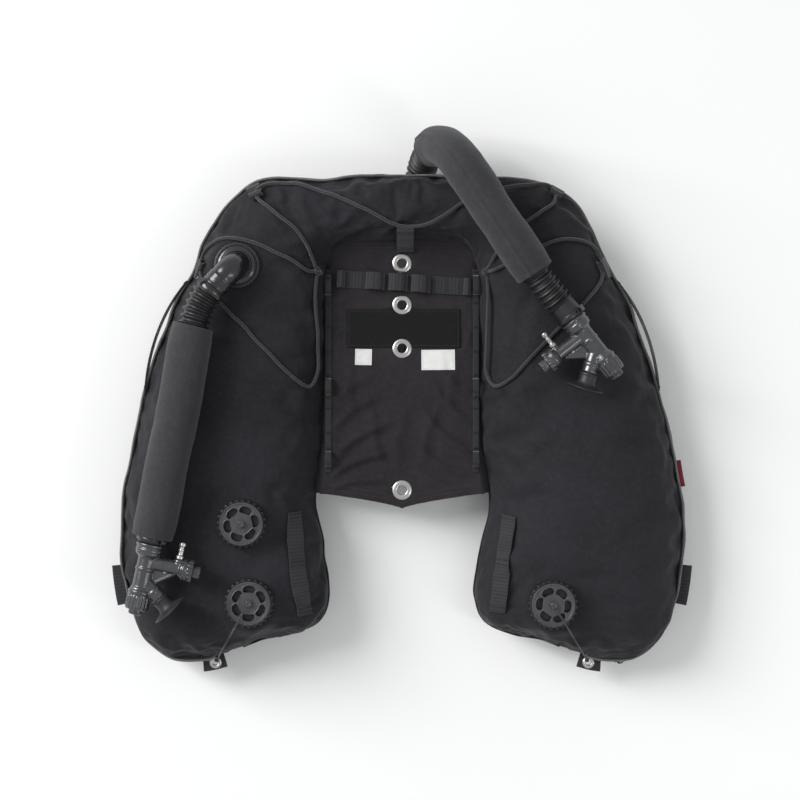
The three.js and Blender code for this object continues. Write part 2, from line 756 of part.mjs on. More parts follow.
// each pull cord runs from its poppet's knob over the cap and down to the eye of the bottom tab
function addPullCords() {
  for (const [name, place, i] of [['left', (t) => t, 1], ['right', (t) => 1 - t, 2]]) {
    const [, x, y] = VALVES[i];
    const eye = bottomEye(place(BOTTOM_TAB.eye));
    const high = valveSeats[i] + VALVE.top + 3;
    const way = new THREE.Vector3(eye.x - x, eye.y - y, 0).normalize();
    const at = (distance, z) => new THREE.Vector3(x, y, 0).addScaledVector(way, distance).setZ(z);
    const end = new THREE.Vector3(eye.x, eye.y, eye.z + 4.6).addScaledVector(way, -6);
    const points = [at(5.6, high), at(18, high + 0.6), at(33, high - 3)];
    for (const [distance, lift] of [[48, 4], [62, 6], [74, 9]]) {
      const { x: overX, y: overY } = at(distance, 0);
      points.push(at(distance, skinHeight(overX, overY) + lift));
    }
    points.push(at(84, eye.z + 14), end);
    add(group, `pull_cord_${name}`, cord(smooth(points), 14, PULL_CORD), 'bungee');
  }
}

// ---- elbows, hoses and sleeves ----

// the flange rests on the skin at height 0, and its neck goes down through the fabric
function elbowFlange() {
  const neck = turned([
    [17.2, -12], [20, -12], [20, 0.5], [17.2, 0.5], [17.2, -12],
  ], 16);
  const plate = extruded(serrated(28, 1.5, 20), 6, [circle(17.2, 16)]);
  return geometryOf(joined(plate, neck));
}

// the elbow rises from inside the flange and turns level towards a point of the plan
function elbowCurve(from, rise, bend, towards, side) {
  const way = new THREE.Vector3(towards[0] - from.x, towards[1] - from.y, 0);
  const reach = way.length() - 0.8;
  way.normalize();
  const at = (distance, height) => from.clone().addScaledVector(way, distance).setZ(height);
  const points = [at(0, from.z), at(0, from.z + (side * rise) / 2), at(0, from.z + side * rise)];
  for (const turn of [22.5, 45, 67.5, 90]) {
    const angle = THREE.MathUtils.degToRad(turn);
    const out = bend * (1 - Math.cos(angle));
    points.push(at(out, from.z + side * (rise + bend * Math.sin(angle))));
  }
  points.push(at((reach + bend) / 2, from.z + side * (rise + bend)), at(reach, from.z + side * (rise + bend)));
  return smooth(points);
}

function addHoseSet({ name, elbow, seat, side, bend, route, steps, span }) {
  const place = nested(group, elbow.x, elbow.y, seat);
  const flange = add(place, `${name}_elbow_flange`, elbowFlange(), 'plastic');
  if (side < 0) flange.rotation.x = Math.PI;
  const start = new THREE.Vector3(elbow.x, elbow.y, seat - side * 6);
  const rise = Math.abs(route[0][2] - start.z) - bend;
  const curve = elbowCurve(start, rise, bend, route[0], side);
  add(group, `${name}_elbow`, pipe(curve, 8, ELBOW.outer, ELBOW.inner), 'plastic');
  const line = smooth(toVectors(route));
  add(group, `${name}_hose`, pipe(line, steps, HOSE.outer, HOSE.inner), 'hose');
  const covered = new Stretch(line, ...span);
  const sleeveSteps = Math.round(steps * (span[1] - span[0]));
  add(group, `${name}_sleeve`, pipe(covered, sleeveSteps, SLEEVE.outer, SLEEVE.inner), 'sleeve');
}

// ---- power inflators ----

// the body lies along +X from the hose end, its power branch along +Y
const BODY = {
  length: 81, tube: 11, flange: 19, housing: 14.5, housingStart: 58,
  branchAt: 22, branch: 8.5, collarStart: 46, collarEnd: 57, collar: 13.5,
  mouthAt: 45, mouthAngle: 55, mouthNeck: 30, mouthRadius: 10, mouthBore: 7,
  nippleAt: 38, nippleStart: 11,
};
const POWER_BUTTON = { radius: 7.5, depth: 7, reach: 66 };
const ORAL_BUTTON = { radius: 9, depth: 6, reach: 87 };

function mouthDirected(geometry) {
  const { mouthAt, mouthAngle } = BODY;
  return alongX(geometry).rotateZ(THREE.MathUtils.degToRad(mouthAngle)).translate(mouthAt, 0, 0);
}

function inflatorBody() {
  const b = BODY;
  const gusset = extruded([
    new THREE.Vector2(b.branchAt, 0), new THREE.Vector2(b.mouthAt + 10, 0),
    new THREE.Vector2(b.branchAt + 4, b.collarStart - 6),
  ], 7).translate(0, 0, -3.5);
  const whole = joined(
    alongX(rod(b.tube, 0, b.housingStart + 1)),
    alongX(rod(b.flange, 0, 6, 14)),
    alongX(rod(b.housing, b.housingStart, b.length)),
    alongY(rod(b.branch, 0, b.collarStart + 1)).translate(b.branchAt, 0, 0),
    alongY(rod(b.collar, b.collarStart, b.collarEnd)).translate(b.branchAt, 0, 0),
    alongX(rod(5.5, b.nippleStart, b.branchAt, 12)).translate(0, b.nippleAt, 0),
    mouthDirected(rod(b.mouthRadius, 0, b.mouthNeck)),
    gusset,
  );
  const { radius, depth } = POWER_BUTTON;
  const power = alongY(rod(radius + GAP, b.collarEnd - depth, b.collarEnd + 5));
  const oral = alongX(rod(ORAL_BUTTON.radius + GAP, b.length - ORAL_BUTTON.depth, b.length + 5));
  return geometryOf(cut(
    whole,
    alongX(rod(8, -5, b.mouthAt + 6, 12)),
    mouthDirected(rod(b.mouthBore, 0, b.mouthNeck + 5, 12)),
    power.translate(b.branchAt, 0, 0),
    oral,
  ));
}

function mouthpiece() {
  const from = BODY.mouthNeck + GAP;
  return mouthDirected(turned([
    [7, from], [10.5, from], [10.5, from + 8], [14, from + 14], [22, from + 19],
    [22, from + 21.5], [13, from + 18], [7, from + 10], [7, from],
  ], 14));
}

function nipple() {
  const from = BODY.nippleStart - GAP;
  return alongX(turned([
    [0, from], [4.6, from], [4.6, from - 4], [3, from - 5], [3, from - 16],
    [4, from - 17], [4, from - 20], [0, from - 20],
  ], 12)).translate(0, BODY.nippleAt, 0);
}

function button({ radius, depth, reach }, mouth) {
  const inner = mouth - depth + 4 + 2 * GAP;
  return rod(radius, inner, reach, 14);
}

function addInflator(name, { at, heading, flipped }) {
  const outer = nested(group, ...at);
  outer.rotation.z = THREE.MathUtils.degToRad(heading);
  const inner = nested(outer);
  if (flipped) inner.rotation.x = Math.PI;
  add(inner, `${name}_inflator_body`, inflatorBody(), 'plastic');
  add(inner, `${name}_mouthpiece`, mouthpiece(), 'rubber');
  add(inner, `${name}_nipple`, nipple(), 'nickel');
  const power = alongY(button(POWER_BUTTON, BODY.collarEnd)).translate(BODY.branchAt, 0, 0);
  add(inner, `${name}_power_button`, power, 'button');
  add(inner, `${name}_oral_button`, alongX(button(ORAL_BUTTON, BODY.length)), 'button');
}

// ---- assembly ----

addShells();
addZip();
addPanel();
addGrommets();
addPatch();
addDaisyChain();
addPanelEdgeWebbing();
addRimTabs();
addSideStraps();
addGrips();
addBungee();
addValves();
addPullCords();
addHoseSet({
  name: 'left', elbow: LEFT_ELBOW, seat: leftSeat, side: 1, bend: 20,
  route: LEFT_HOSE, steps: HOSE_STEPS.left, span: LEFT_SLEEVE_SPAN,
});
addHoseSet({
  name: 'right', elbow: RIGHT_ELBOW, seat: rightSeat, side: -1, bend: 18,
  route: RIGHT_HOSE, steps: HOSE_STEPS.right, span: RIGHT_SLEEVE_SPAN,
});
addInflator('left', INFLATORS.left);
addInflator('right', INFLATORS.right);

export default group;
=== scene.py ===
# A dual-bladder buoyancy wing lying on its back, tank side up. Metres, in the CAD frame.
import math
from contextlib import contextmanager

import bmesh
import bpy
import numpy as np
from mathutils import Matrix, Vector
from mathutils.bvhtree import BVHTree


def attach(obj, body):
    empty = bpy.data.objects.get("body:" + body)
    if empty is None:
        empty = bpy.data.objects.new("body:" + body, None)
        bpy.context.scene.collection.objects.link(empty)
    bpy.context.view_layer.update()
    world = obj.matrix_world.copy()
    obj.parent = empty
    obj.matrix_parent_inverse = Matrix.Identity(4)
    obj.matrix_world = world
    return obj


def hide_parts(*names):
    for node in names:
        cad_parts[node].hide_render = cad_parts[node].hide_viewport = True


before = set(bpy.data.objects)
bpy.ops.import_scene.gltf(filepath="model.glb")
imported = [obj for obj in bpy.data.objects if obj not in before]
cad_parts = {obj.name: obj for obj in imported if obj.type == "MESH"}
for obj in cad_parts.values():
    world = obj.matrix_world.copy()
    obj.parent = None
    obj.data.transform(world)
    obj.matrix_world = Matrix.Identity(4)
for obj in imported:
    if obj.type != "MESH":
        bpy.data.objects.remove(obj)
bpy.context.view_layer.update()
scene = bpy.context.scene
MM = 0.001

# ---- camera ----

camera_data = bpy.data.cameras.new("camera")
camera_data.lens = 92
camera_data.sensor_width = 36
camera = bpy.data.objects.new("camera", camera_data)
camera.location = (-0.0025, 0.0306, 2.584)
scene.collection.objects.link(camera)
scene.camera = camera


# ---- lines ----

def along(points, ts, even=False):
    """Points of a smooth line through the given points. even spaces its knots alike."""
    p = np.asarray(points, float)
    ends = np.vstack([2 * p[0] - p[1], p, 2 * p[-1] - p[-2]])
    place = np.clip(np.asarray(ts, float) * (len(p) - 1), 0, len(p) - 1)
    i = np.minimum(place.astype(int), len(p) - 2)
    w = (place - i)[:, None]
    p0, p1, p2, p3 = (ends[i + k] for k in range(4))
    if even:
        m1, m2 = (p2 - p0) / 2, (p3 - p1) / 2
    else:
        d0, d1, d2 = (
            np.sqrt(np.linalg.norm(b - a, axis=1))[:, None] + 1e-9
            for a, b in ((p0, p1), (p1, p2), (p2, p3))
        )
        m1 = ((p1 - p0) / d0 - (p2 - p0) / (d0 + d1) + (p2 - p1) / d1) * d1
        m2 = ((p2 - p1) / d1 - (p3 - p1) / (d1 + d2) + (p3 - p2) / d2) * d1
    return (
        p1
        + m1 * w
        + (3 * (p2 - p1) - 2 * m1 - m2) * w**2
        + (2 * (p1 - p2) + m1 + m2) * w**3
    )


def lengths(line):
    return np.concatenate([[0], np.cumsum(np.linalg.norm(np.diff(line, axis=0), axis=1))])


def respaced(line, at):
    """Points of a polyline at the given distances along it."""
    s = lengths(line)
    return np.stack([np.interp(at, s, line[:, k]) for k in range(line.shape[1])], axis=1)


def smooth_line(points, step):
    dense = along(points, np.linspace(0, 1, 60 * len(points)))
    total = lengths(dense)[-1]
    return respaced(dense, np.linspace(0, total, max(int(total / step), 2) + 1))


def mm(*points):
    """Points or profiles that are written down in millimetres."""
    return np.array(points, float) * MM


def hump(x, middle, width):
    """A bell curve of height 1 about middle."""
    return np.exp(-(((x - middle) / width) ** 2))


def turns(count):
    """Angles once round, the last one short of the first."""
    return np.linspace(0, 2 * math.pi, count, endpoint=False)


def unit(v):
    return v / np.maximum(np.linalg.norm(v, axis=-1, keepdims=True), 1e-12)


def carried_frames(line, up=(0, 0, 1)):
    """Tangent, side and upright directions carried along a line without twist."""
    forward = unit(np.gradient(line, axis=0))
    over = np.empty_like(forward)
    first = np.asarray(up, float) - np.dot(up, forward[0]) * forward[0]
    if np.linalg.norm(first) < 1e-3:
        first = np.cross(forward[0], (1, 0, 0))
    over[0] = unit(first)
    for i in range(1, len(line)):
        kept = over[i - 1] - np.dot(over[i - 1], forward[i]) * forward[i]
        over[i] = unit(kept)
    return forward, np.cross(over, forward), over


# ---- meshes ----

def moved(points, matrix):
    return points @ np.array(matrix.to_3x3()).T + np.array(matrix.translation)


class Form:
    """Gathers grids of points into one mesh, with texture coordinates in metres."""

    def __init__(self):
        self.points, self.faces, self.corners, self.count = [], [], [], 0

    def grid(self, points, round_v=False, ends="", matrix=None):
        points = np.asarray(points, float)
        n, m = points.shape[:2]
        i, j = np.meshgrid(np.arange(n - 1), np.arange(m - (not round_v)), indexing="ij")
        i, j = i.ravel(), j.ravel()
        i2, j2 = i + 1, (j + 1) % m
        quads = np.stack([i * m + j, i2 * m + j, i2 * m + j2, i * m + j2], axis=1)
        along_u = lengths(points.mean(axis=1))
        across = np.linalg.norm(np.diff(points, axis=1, append=points[:, :1]), axis=2)
        across = np.concatenate([[0], np.cumsum(across.max(axis=0))])
        u0, u1, v0, v1 = along_u[i], along_u[i2], across[j], across[j + 1]
        corners = np.stack([np.stack(c, 1) for c in ((u0, v0), (u1, v0), (u1, v1), (u0, v1))], axis=1)
        flat = points.reshape(-1, 3)
        faces = [list(q) for q in (quads + self.count)]
        corners = [list(map(tuple, c)) for c in corners]
        if "a" in ends:
            faces.append([self.count + k for k in range(m)])
            corners.append([(0.0, float(across[k])) for k in range(m)])
        if "b" in ends:
            faces.append([self.count + (n - 1) * m + k for k in range(m)][::-1])
            corners.append([(float(along_u[-1]), float(across[k])) for k in range(m)][::-1])
        if matrix is not None:
            flat = moved(flat, matrix)
        self.points.append(flat)
        self.faces += faces
        self.corners += corners
        self.count += len(flat)
        return self

    def lathe(self, profile, sides=64, matrix=None, soft=0.0):
        """A body of revolution about Z. The profile starts and ends on the axis or on itself."""
        profile = softened(profile, soft) if soft else np.asarray(profile, float)
        turn = turns(sides)
        ring = np.stack([np.cos(turn), np.sin(turn)], axis=1)
        points = np.empty((len(profile), sides, 3))
        points[..., :2] = np.maximum(profile[:, None, :1], 1e-7) * ring[None]
        points[..., 2] = profile[:, None, 1]
        return self.grid(points, round_v=True, matrix=matrix)

    def tube(self, line, radius, sides=24, ends="ab", up=(0, 0, 1), flat=1.0):
        """A round bar along a line. radius is one value, one per point, or a grid."""
        line = np.asarray(line, float)
        _, side, over = carried_frames(line, up)
        turn = turns(sides)
        radius = np.asarray(radius, float)
        if radius.ndim == 0:
            radius = np.full((len(line), 1), float(radius))
        elif radius.ndim == 1:
            radius = radius[:, None]
        ring = side[:, None] * np.cos(turn)[None, :, None]
        ring = ring + over[:, None] * np.sin(turn)[None, :, None] * flat
        return self.grid(line[:, None] + ring * radius[..., None], round_v=True, ends=ends)

    def raw(self, name, uv=False):
        """The mesh as it stands, not yet welded or painted."""
        mesh = bpy.data.meshes.new(name)
        mesh.from_pydata(np.concatenate(self.points).tolist(), [], self.faces)
        if uv:
            layer = mesh.uv_layers.new(name="UVMap")
            pairs = [xy for face in self.corners for xy in face]
            layer.data.foreach_set("uv", np.array(pairs, np.float32).ravel())
        made = bpy.data.objects.new(name, mesh)
        scene.collection.objects.link(made)
        return made

    def build(self, name, paint, slot, body, nodes=(), sharp=40):
        made = self.raw(name, uv=True)
        clean(made, sharp)
        return finished(made, paint, body, nodes)


@contextmanager
def edited(mesh):
    work = bmesh.new()
    work.from_mesh(mesh)
    yield work
    work.to_mesh(mesh)
    work.free()


def shaded(made, sharp=None):
    """Shades a mesh smooth, with hard edges above an angle in degrees if one is given."""
    made.data.polygons.foreach_set("use_smooth", [True] * len(made.data.polygons))
    if sharp is not None:
        made.data.set_sharp_from_angle(angle=math.radians(sharp))


def clean(made, sharp=40):
    """Welds the poles of lathes, drops empty faces and turns every closed shell outwards."""
    with edited(made.data) as work:
        bmesh.ops.remove_doubles(work, verts=work.verts, dist=2e-6)
        bmesh.ops.dissolve_degenerate(work, dist=1e-7, edges=work.edges)
        bmesh.ops.recalc_face_normals(work, faces=work.faces)
    shaded(made, sharp)


def finished(made, paint, body, nodes=()):
    made.data.materials.clear()
    made.data.materials.append(paint)
    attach(made, body)
    if nodes:
        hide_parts(*([nodes] if isinstance(nodes, str) else nodes))
    return made


def softened(profile, radius, steps=3):
    """A polyline whose corners are rounded off."""
    p = np.asarray(profile, float)
    out = [p[0]]
    for a, b, c in zip(p[:-2], p[1:-1], p[2:]):
        before, after = np.linalg.norm(a - b), np.linalg.norm(c - b)
        r = min(radius, 0.45 * before, 0.45 * after)
        if r < 1e-6:
            out.append(b)
            continue
        start, end = b + (a - b) / before * r, b + (c - b) / after * r
        for k in np.linspace(0, 1, steps + 1):
            out.append((1 - k) ** 2 * start + 2 * k * (1 - k) * b + k**2 * end)
    out.append(p[-1])
    return np.array(out)


def placed(x=0, y=0, z=0, turn=0, flip=False):
    matrix = Matrix.Translation((x, y, z)) @ Matrix.Rotation(turn, 4, "Z")
    return matrix @ Matrix.Rotation(math.pi, 4, "X") if flip else matrix


def ripple(s, seed, scale, octaves=3):
    """Smooth repeatable noise from -1 to 1 along an array of distances."""
    total, weight = np.zeros_like(s, float), 0
    for k in range(octaves):
        source = np.random.default_rng(seed + 101 * k)
        knots = source.uniform(-1, 1, 4096)
        place = np.asarray(s) / scale * 2**k + 1000
        i = np.floor(place).astype(int)
        w = place - i
        w = w * w * (3 - 2 * w)
        total += (knots[i % 4096] * (1 - w) + knots[(i + 1) % 4096] * w) / 2**k
        weight += 1 / 2**k
    return total / weight


def patchy(x, y, seed, scale, octaves=3):
    """Smooth repeatable noise from -1 to 1 over a plane."""
    total, weight = np.zeros_like(x, float), 0
    table = np.random.default_rng(seed).uniform(-1, 1, (256, 256))
    for k in range(octaves):
        px, py = x / scale * 2**k + 57.3 * k + 500, y / scale * 2**k + 31.7 * k + 500
        i, j = np.floor(px).astype(int), np.floor(py).astype(int)
        u, v = px - i, py - j
        u, v = u * u * (3 - 2 * u), v * v * (3 - 2 * v)
        a, b = table[i % 256, j % 256], table[(i + 1) % 256, j % 256]
        c, d = table[i % 256, (j + 1) % 256], table[(i + 1) % 256, (j + 1) % 256]
        total += (a * (1 - u) * (1 - v) + b * u * (1 - v) + c * (1 - u) * v + d * u * v) / 2**k
        weight += 1 / 2**k
    return total / weight


def rise(x, low, high):
    w = np.clip((np.asarray(x, float) - low) / (high - low), 0, 1)
    return w * w * (3 - 2 * w)


# ---- materials ----

class Paint:
    def __init__(self, name):
        self.material = bpy.data.materials.new(name)
        self.material.use_nodes = True
        self.tree = self.material.node_tree
        self.shader = self.tree.nodes["Principled BSDF"]
        self.coordinates = self.node("ShaderNodeTexCoord")

    def node(self, kind, settings=None, **inputs):
        made = self.tree.nodes.new(kind)
        for key, value in (settings or {}).items():
            setattr(made, key, value)
        for key, value in inputs.items():
            self.put(made.inputs[key.replace("_", " ")], value)
        return made

    def put(self, socket, value):
        if isinstance(value, bpy.types.NodeSocket):
            self.tree.links.new(value, socket)
        else:
            socket.default_value = value

    def math(self, operation, *values):
        made = self.node("ShaderNodeMath", {"operation": operation})
        for socket, value in zip(made.inputs, values):
            self.put(socket, value)
        return made.outputs[0]

    def times(self, a, b):
        return self.math("MULTIPLY", a, b)

    def plus(self, a, b):
        return self.math("ADD", a, b)

    def parts(self, output):
        """The three numbers of a texture coordinate."""
        return self.node("ShaderNodeSeparateXYZ", Vector=self.coordinates.outputs[output]).outputs

    def noise(self, scale, detail=2.0, rough=0.5, stretch=None):
        source = self.coordinates.outputs["Object"]
        if stretch:
            source = self.node("ShaderNodeMapping", Vector=source, Scale=stretch).outputs[0]
        made = self.node("ShaderNodeTexNoise", Vector=source, Scale=scale, Detail=detail, Roughness=rough)
        return made.outputs["Fac"]

    def ramp(self, value, *stops):
        made = self.node("ShaderNodeValToRGB", Fac=value)
        elements = made.color_ramp.elements
        while len(elements) < len(stops):
            elements.new(0.5)
        for element, (place, colour) in zip(elements, stops):
            element.position = place
            element.color = (*colour, 1)
        return made.outputs["Color"]

    def mixed(self, factor, a, b):
        made = self.node("ShaderNodeMix", {"data_type": "RGBA"})
        self.put(made.inputs[0], factor)
        for socket, value in ((made.inputs[6], a), (made.inputs[7], b)):
            self.put(socket, (*value, 1) if isinstance(value, tuple) and len(value) == 3 else value)
        return made.outputs[2]

    def bump(self, height, distance, strength=1.0):
        before = self.shader.inputs["Normal"]
        made = self.node("ShaderNodeBump", Height=height, Distance=distance, Strength=strength)
        if before.is_linked:
            self.tree.links.new(before.links[0].from_socket, made.inputs["Normal"])
        self.tree.links.new(made.outputs[0], before)

    def set(self, **inputs):
        for key, value in inputs.items():
            self.put(self.shader.inputs[key.replace("_", " ")], value)

    def threads(self, u, v, pitch):
        """Height of a plain weave whose threads lie pitch apart along u and v."""
        a = self.math("SINE", self.times(u, math.pi / pitch))
        b = self.math("SINE", self.times(v, math.pi / pitch))
        over = self.math("GREATER_THAN", self.times(a, b), 0.0)
        a, b = self.math("ABSOLUTE", a), self.math("ABSOLUTE", b)
        return self.plus(self.times(a, over),
                         self.times(b, self.math("SUBTRACT", 1.0, over)))

    def weave_all_round(self, pitch):
        """A weave laid on three planes and mixed by the way the surface faces."""
        at = self.parts("Object")
        way = self.parts("Normal")
        height = None
        for u, v, w in ((0, 1, 2), (1, 2, 0), (2, 0, 1)):
            facing = self.math("POWER", self.math("ABSOLUTE", way[w]), 4.0)
            part = self.times(self.threads(at[u], at[v], pitch), facing)
            height = part if height is None else self.plus(height, part)
        return height


def fabric_paint(name, dark, light, pitch=0.9, rough=0.85, sheen=0.25, bump=0.12, by_uv=False):
    """Woven nylon: threads with painted shade in their grooves, soft mottling, rubbed high spots and lint.
    """
    p = Paint(name)
    if by_uv:
        uv = p.parts("UV")
        height = p.threads(uv[0], uv[1], pitch * MM)
    else:
        height = p.weave_all_round(pitch * MM)
    mottle = p.noise(9.0, 4.0, 0.6)
    base = p.ramp(mottle, (0.35, dark), (0.68, light))
    rubbed = p.ramp(p.noise(160.0, 3.0, 0.7), (0.45, (0, 0, 0)), (0.8, (1, 1, 1)))
    worn = tuple(min(c * 1.7 + 0.006, 1) for c in light)
    base = p.mixed(p.times(rubbed, 0.35), base, worn)
    # painted shade: the colour darkens towards the low grooves between the threads
    groove_painted_shade = p.mixed(p.times(p.math("SUBTRACT", 1.0, height), 0.45), base, tuple(c * 0.45 for c in dark))
    p.set(Base_Color=groove_painted_shade, Sheen_Weight=sheen, Sheen_Roughness=0.45, Specular_IOR_Level=0.3)
    p.set(Roughness=p.plus(p.times(mottle, 0.16), rough - 0.08))
    p.bump(p.noise(24.0, 4.0, 0.6), 2.2 * MM, 0.8)
    p.bump(height, bump * MM, 0.9)
    return p.material


def webbing_paint(name, dark, light, ribs=1.9):
    """Woven webbing: cross ribs with painted shade between them, a herringbone over them and selvedges. U
    runs along it.
    """
    p = Paint(name)
    uv = p.parts("UV")
    rib = p.math("ABSOLUTE", p.math("SINE", p.times(uv[0], math.pi / (ribs * MM))))
    slant = p.math("PINGPONG", uv[1], 2.4 * MM)
    twill = p.math("SINE", p.times(p.plus(uv[0], slant), 2 * math.pi / (1.1 * MM)))
    warp = p.math("ABSOLUTE", p.math("SINE", p.times(uv[1], math.pi / (0.8 * MM))))
    height = p.plus(p.times(rib, 0.7), p.times(warp, 0.3))
    height = p.plus(height, p.times(twill, 0.12))
    fuzz = p.noise(240.0, 3.0, 0.6)
    # painted shade: the colour runs from near black in the hollows to the lighter rib tops
    base = p.mixed(p.times(height, 0.8), tuple(c * 0.4 for c in dark), light)
    base = p.mixed(p.times(fuzz, 0.3), base, tuple(c * 1.6 for c in light))
    p.set(Base_Color=base, Sheen_Weight=0.35, Sheen_Roughness=0.4, Specular_IOR_Level=0.35)
    p.set(Roughness=p.plus(p.times(fuzz, 0.2), 0.6))
    p.bump(height, 0.3 * MM, 1.0)
    return p.material


def braid_paint(name, dark, light, around=16, pitch=2.6, girth=15.7):
    """A braided cord cover: strands cross on the slant, with painted shade where they dip. U runs along it,
    V round it.
    """
    p = Paint(name)
    uv = p.parts("UV")
    a = p.times(uv[0], 2 * math.pi / (pitch * MM))
    b = p.times(uv[1], math.pi * around / (girth * MM))
    one = p.math("SINE", p.plus(a, b))
    two = p.math("SINE", p.math("SUBTRACT", a, b))
    height = p.math("MAXIMUM", one, two)
    # painted shade: darker where the strands dip between their crossings, lighter on their tops
    base = p.mixed(p.plus(p.times(height, 0.4), 0.5), dark, light)
    p.set(Base_Color=base, Roughness=p.plus(p.times(p.noise(300.0), 0.2), 0.5))
    p.set(Sheen_Weight=0.3, Sheen_Roughness=0.4, Specular_IOR_Level=0.45)
    p.bump(height, 0.35 * MM, 0.9)
    return p.material


def moulded_paint(name, dark, light, rough=0.34, grain=0.05, specular=0.5):
    """Moulded plastic: fine grain, faint flow marks and dull scuffs."""
    p = Paint(name)
    flow = p.noise(30.0, 3.0, 0.6, stretch=(1, 1, 3))
    scuff = p.ramp(p.noise(90.0, 5.0, 0.7, stretch=(6, 1, 2)), (0.5, (0, 0, 0)), (0.75, (1, 1, 1)))
    base = p.ramp(flow, (0.3, dark), (0.75, light))
    base = p.mixed(p.times(scuff, 0.3), base, tuple(c * 1.8 + 0.004 for c in light))
    p.set(Base_Color=base, Specular_IOR_Level=specular)
    p.set(Roughness=p.plus(p.times(scuff, 0.22), p.plus(p.times(flow, 0.1), rough - 0.05)))
    p.bump(p.noise(900.0, 3.0, 0.6), grain * MM, 0.6)
    p.bump(p.noise(60.0, 2.0, 0.5), 0.25 * MM, 0.25)
    return p.material


def rubber_paint(name, dark, light, rough=0.5):
    p = Paint(name)
    bloom = p.noise(45.0, 4.0, 0.6)
    base = p.ramp(bloom, (0.3, dark), (0.8, light))
    p.set(Base_Color=base, Roughness=p.plus(p.times(bloom, 0.2), rough - 0.1))
    p.set(Specular_IOR_Level=0.5)
    p.bump(p.noise(700.0, 3.0, 0.6), 0.06 * MM, 0.7)
    return p.material


def metal_paint(name, colour, rough=0.22):
    p = Paint(name)
    scratch = p.noise(220.0, 6.0, 0.75, stretch=(1, 5, 1))
    haze = p.noise(70.0, 3.0, 0.6)
    base = p.mixed(haze, tuple(c * 0.82 for c in colour), colour)
    p.set(Base_Color=base, Metallic=1.0)
    p.set(Roughness=p.plus(p.times(scratch, 0.18), p.plus(p.times(haze, 0.1), rough - 0.12)))
    p.bump(scratch, 0.03 * MM, 0.5)
    return p.material


def pile_paint(name, dark, light):
    """The looped pile of a hook-and-loop patch, with painted shade where the tufts sink."""
    p = Paint(name)
    curl = p.node("ShaderNodeTexVoronoi", Vector=p.coordinates.outputs["Object"],
        Scale=900.0).outputs["Distance"]
    tuft = p.noise(380.0, 5.0, 0.75)
    # painted shade: the same noise that raises the tufts darkens the pile between them
    base = p.mixed(p.times(tuft, 0.9), dark, light)
    p.set(Base_Color=base, Roughness=p.plus(p.times(tuft, 0.1), 0.88))
    p.set(Sheen_Weight=0.1, Sheen_Roughness=0.6, Specular_IOR_Level=0.15)
    p.bump(tuft, 1.2 * MM, 0.9)
    p.bump(curl, 0.6 * MM, 0.8)
    return p.material


def film_paint(name, dark, light):
    """Welded urethane film over cloth."""
    p = Paint(name)
    cloud = p.noise(14.0, 3.0, 0.5)
    p.set(Base_Color=p.ramp(cloud, (0.3, dark), (0.8, light)), Coat_Weight=0.3, Coat_Roughness=0.2)
    p.set(Roughness=p.plus(p.times(cloud, 0.15), 0.35))
    p.bump(p.weave_all_round(0.7 * MM), 0.05 * MM, 0.6)
    return p.material


SHELL = fabric_paint("shell_nylon", (0.0075, 0.007, 0.0098), (0.019, 0.0178, 0.0232), rough=0.78,
    sheen=0.08)
PANEL = fabric_paint("panel_nylon", (0.011, 0.009, 0.011), (0.0235, 0.0195, 0.0225), pitch=0.8, rough=0.85,
    sheen=0.1)
SLEEVE = fabric_paint("sleeve_nylon", (0.026, 0.026, 0.03), (0.038, 0.038, 0.042), pitch=0.7, rough=0.8,
    sheen=0.16, by_uv=True)
WEBBING = webbing_paint("black_webbing", (0.008, 0.008, 0.009), (0.02, 0.02, 0.022))
GRIP = webbing_paint("ribbed_webbing", (0.008, 0.008, 0.009), (0.026, 0.026, 0.029), ribs=4.2)
BRAID = braid_paint("bungee_braid", (0.006, 0.006, 0.007), (0.03, 0.03, 0.033))
LINE = braid_paint("pull_cord_braid", (0.01, 0.01, 0.011), (0.035, 0.035, 0.038), around=8, pitch=1.4,
    girth=6.3)
PIPING = fabric_paint("piping_tape", (0.09, 0.09, 0.09), (0.17, 0.17, 0.165), pitch=0.5, rough=0.7,
    by_uv=True)
THREAD = rubber_paint("sewing_thread", (0.02, 0.02, 0.022), (0.045, 0.045, 0.05), rough=0.6)
HOSE = rubber_paint("hose_rubber", (0.008, 0.008, 0.009), (0.018, 0.018, 0.02), rough=0.42)
SOFT = rubber_paint("soft_rubber", (0.01, 0.01, 0.011), (0.022, 0.022, 0.024), rough=0.5)
GLOSS = moulded_paint("gloss_plastic", (0.005, 0.005, 0.006), (0.011, 0.011, 0.013), rough=0.2, grain=0.02,
    specular=0.8)
VALVE = moulded_paint("valve_plastic", (0.009, 0.009, 0.011), (0.018, 0.018, 0.021), rough=0.4)
# near-black for the caps' rims, and painted shade on the floors of their slots
RIM_AND_SLOT_SHADE = moulded_paint("rim_and_slot_shade_plastic", (0.003, 0.003, 0.004), (0.006, 0.006, 0.007), rough=0.5)
CAP = moulded_paint("cap_plastic", (0.03, 0.03, 0.034), (0.055, 0.055, 0.061), rough=0.34)
BUTTON = moulded_paint("button_plastic", (0.018, 0.018, 0.021), (0.036, 0.036, 0.041), rough=0.2,
    specular=1.0)
NICKEL = metal_paint("nickel", (0.56, 0.555, 0.54), rough=0.3)
PILE = pile_paint("loop_pile", (0.001, 0.001, 0.001), (0.011, 0.011, 0.012))
FILM = film_paint("bladder_film", (0.03, 0.045, 0.09), (0.05, 0.07, 0.13))
LABEL = fabric_paint("label_cloth", (0.62, 0.62, 0.6), (0.8, 0.8, 0.78), pitch=0.35, rough=0.7, sheen=0.05,
    bump=0.05)
RED = fabric_paint("red_tag_cloth", (0.09, 0.006, 0.010), (0.16, 0.010, 0.016), pitch=0.35, rough=0.7,
    bump=0.06)

# ---- the horseshoe ----

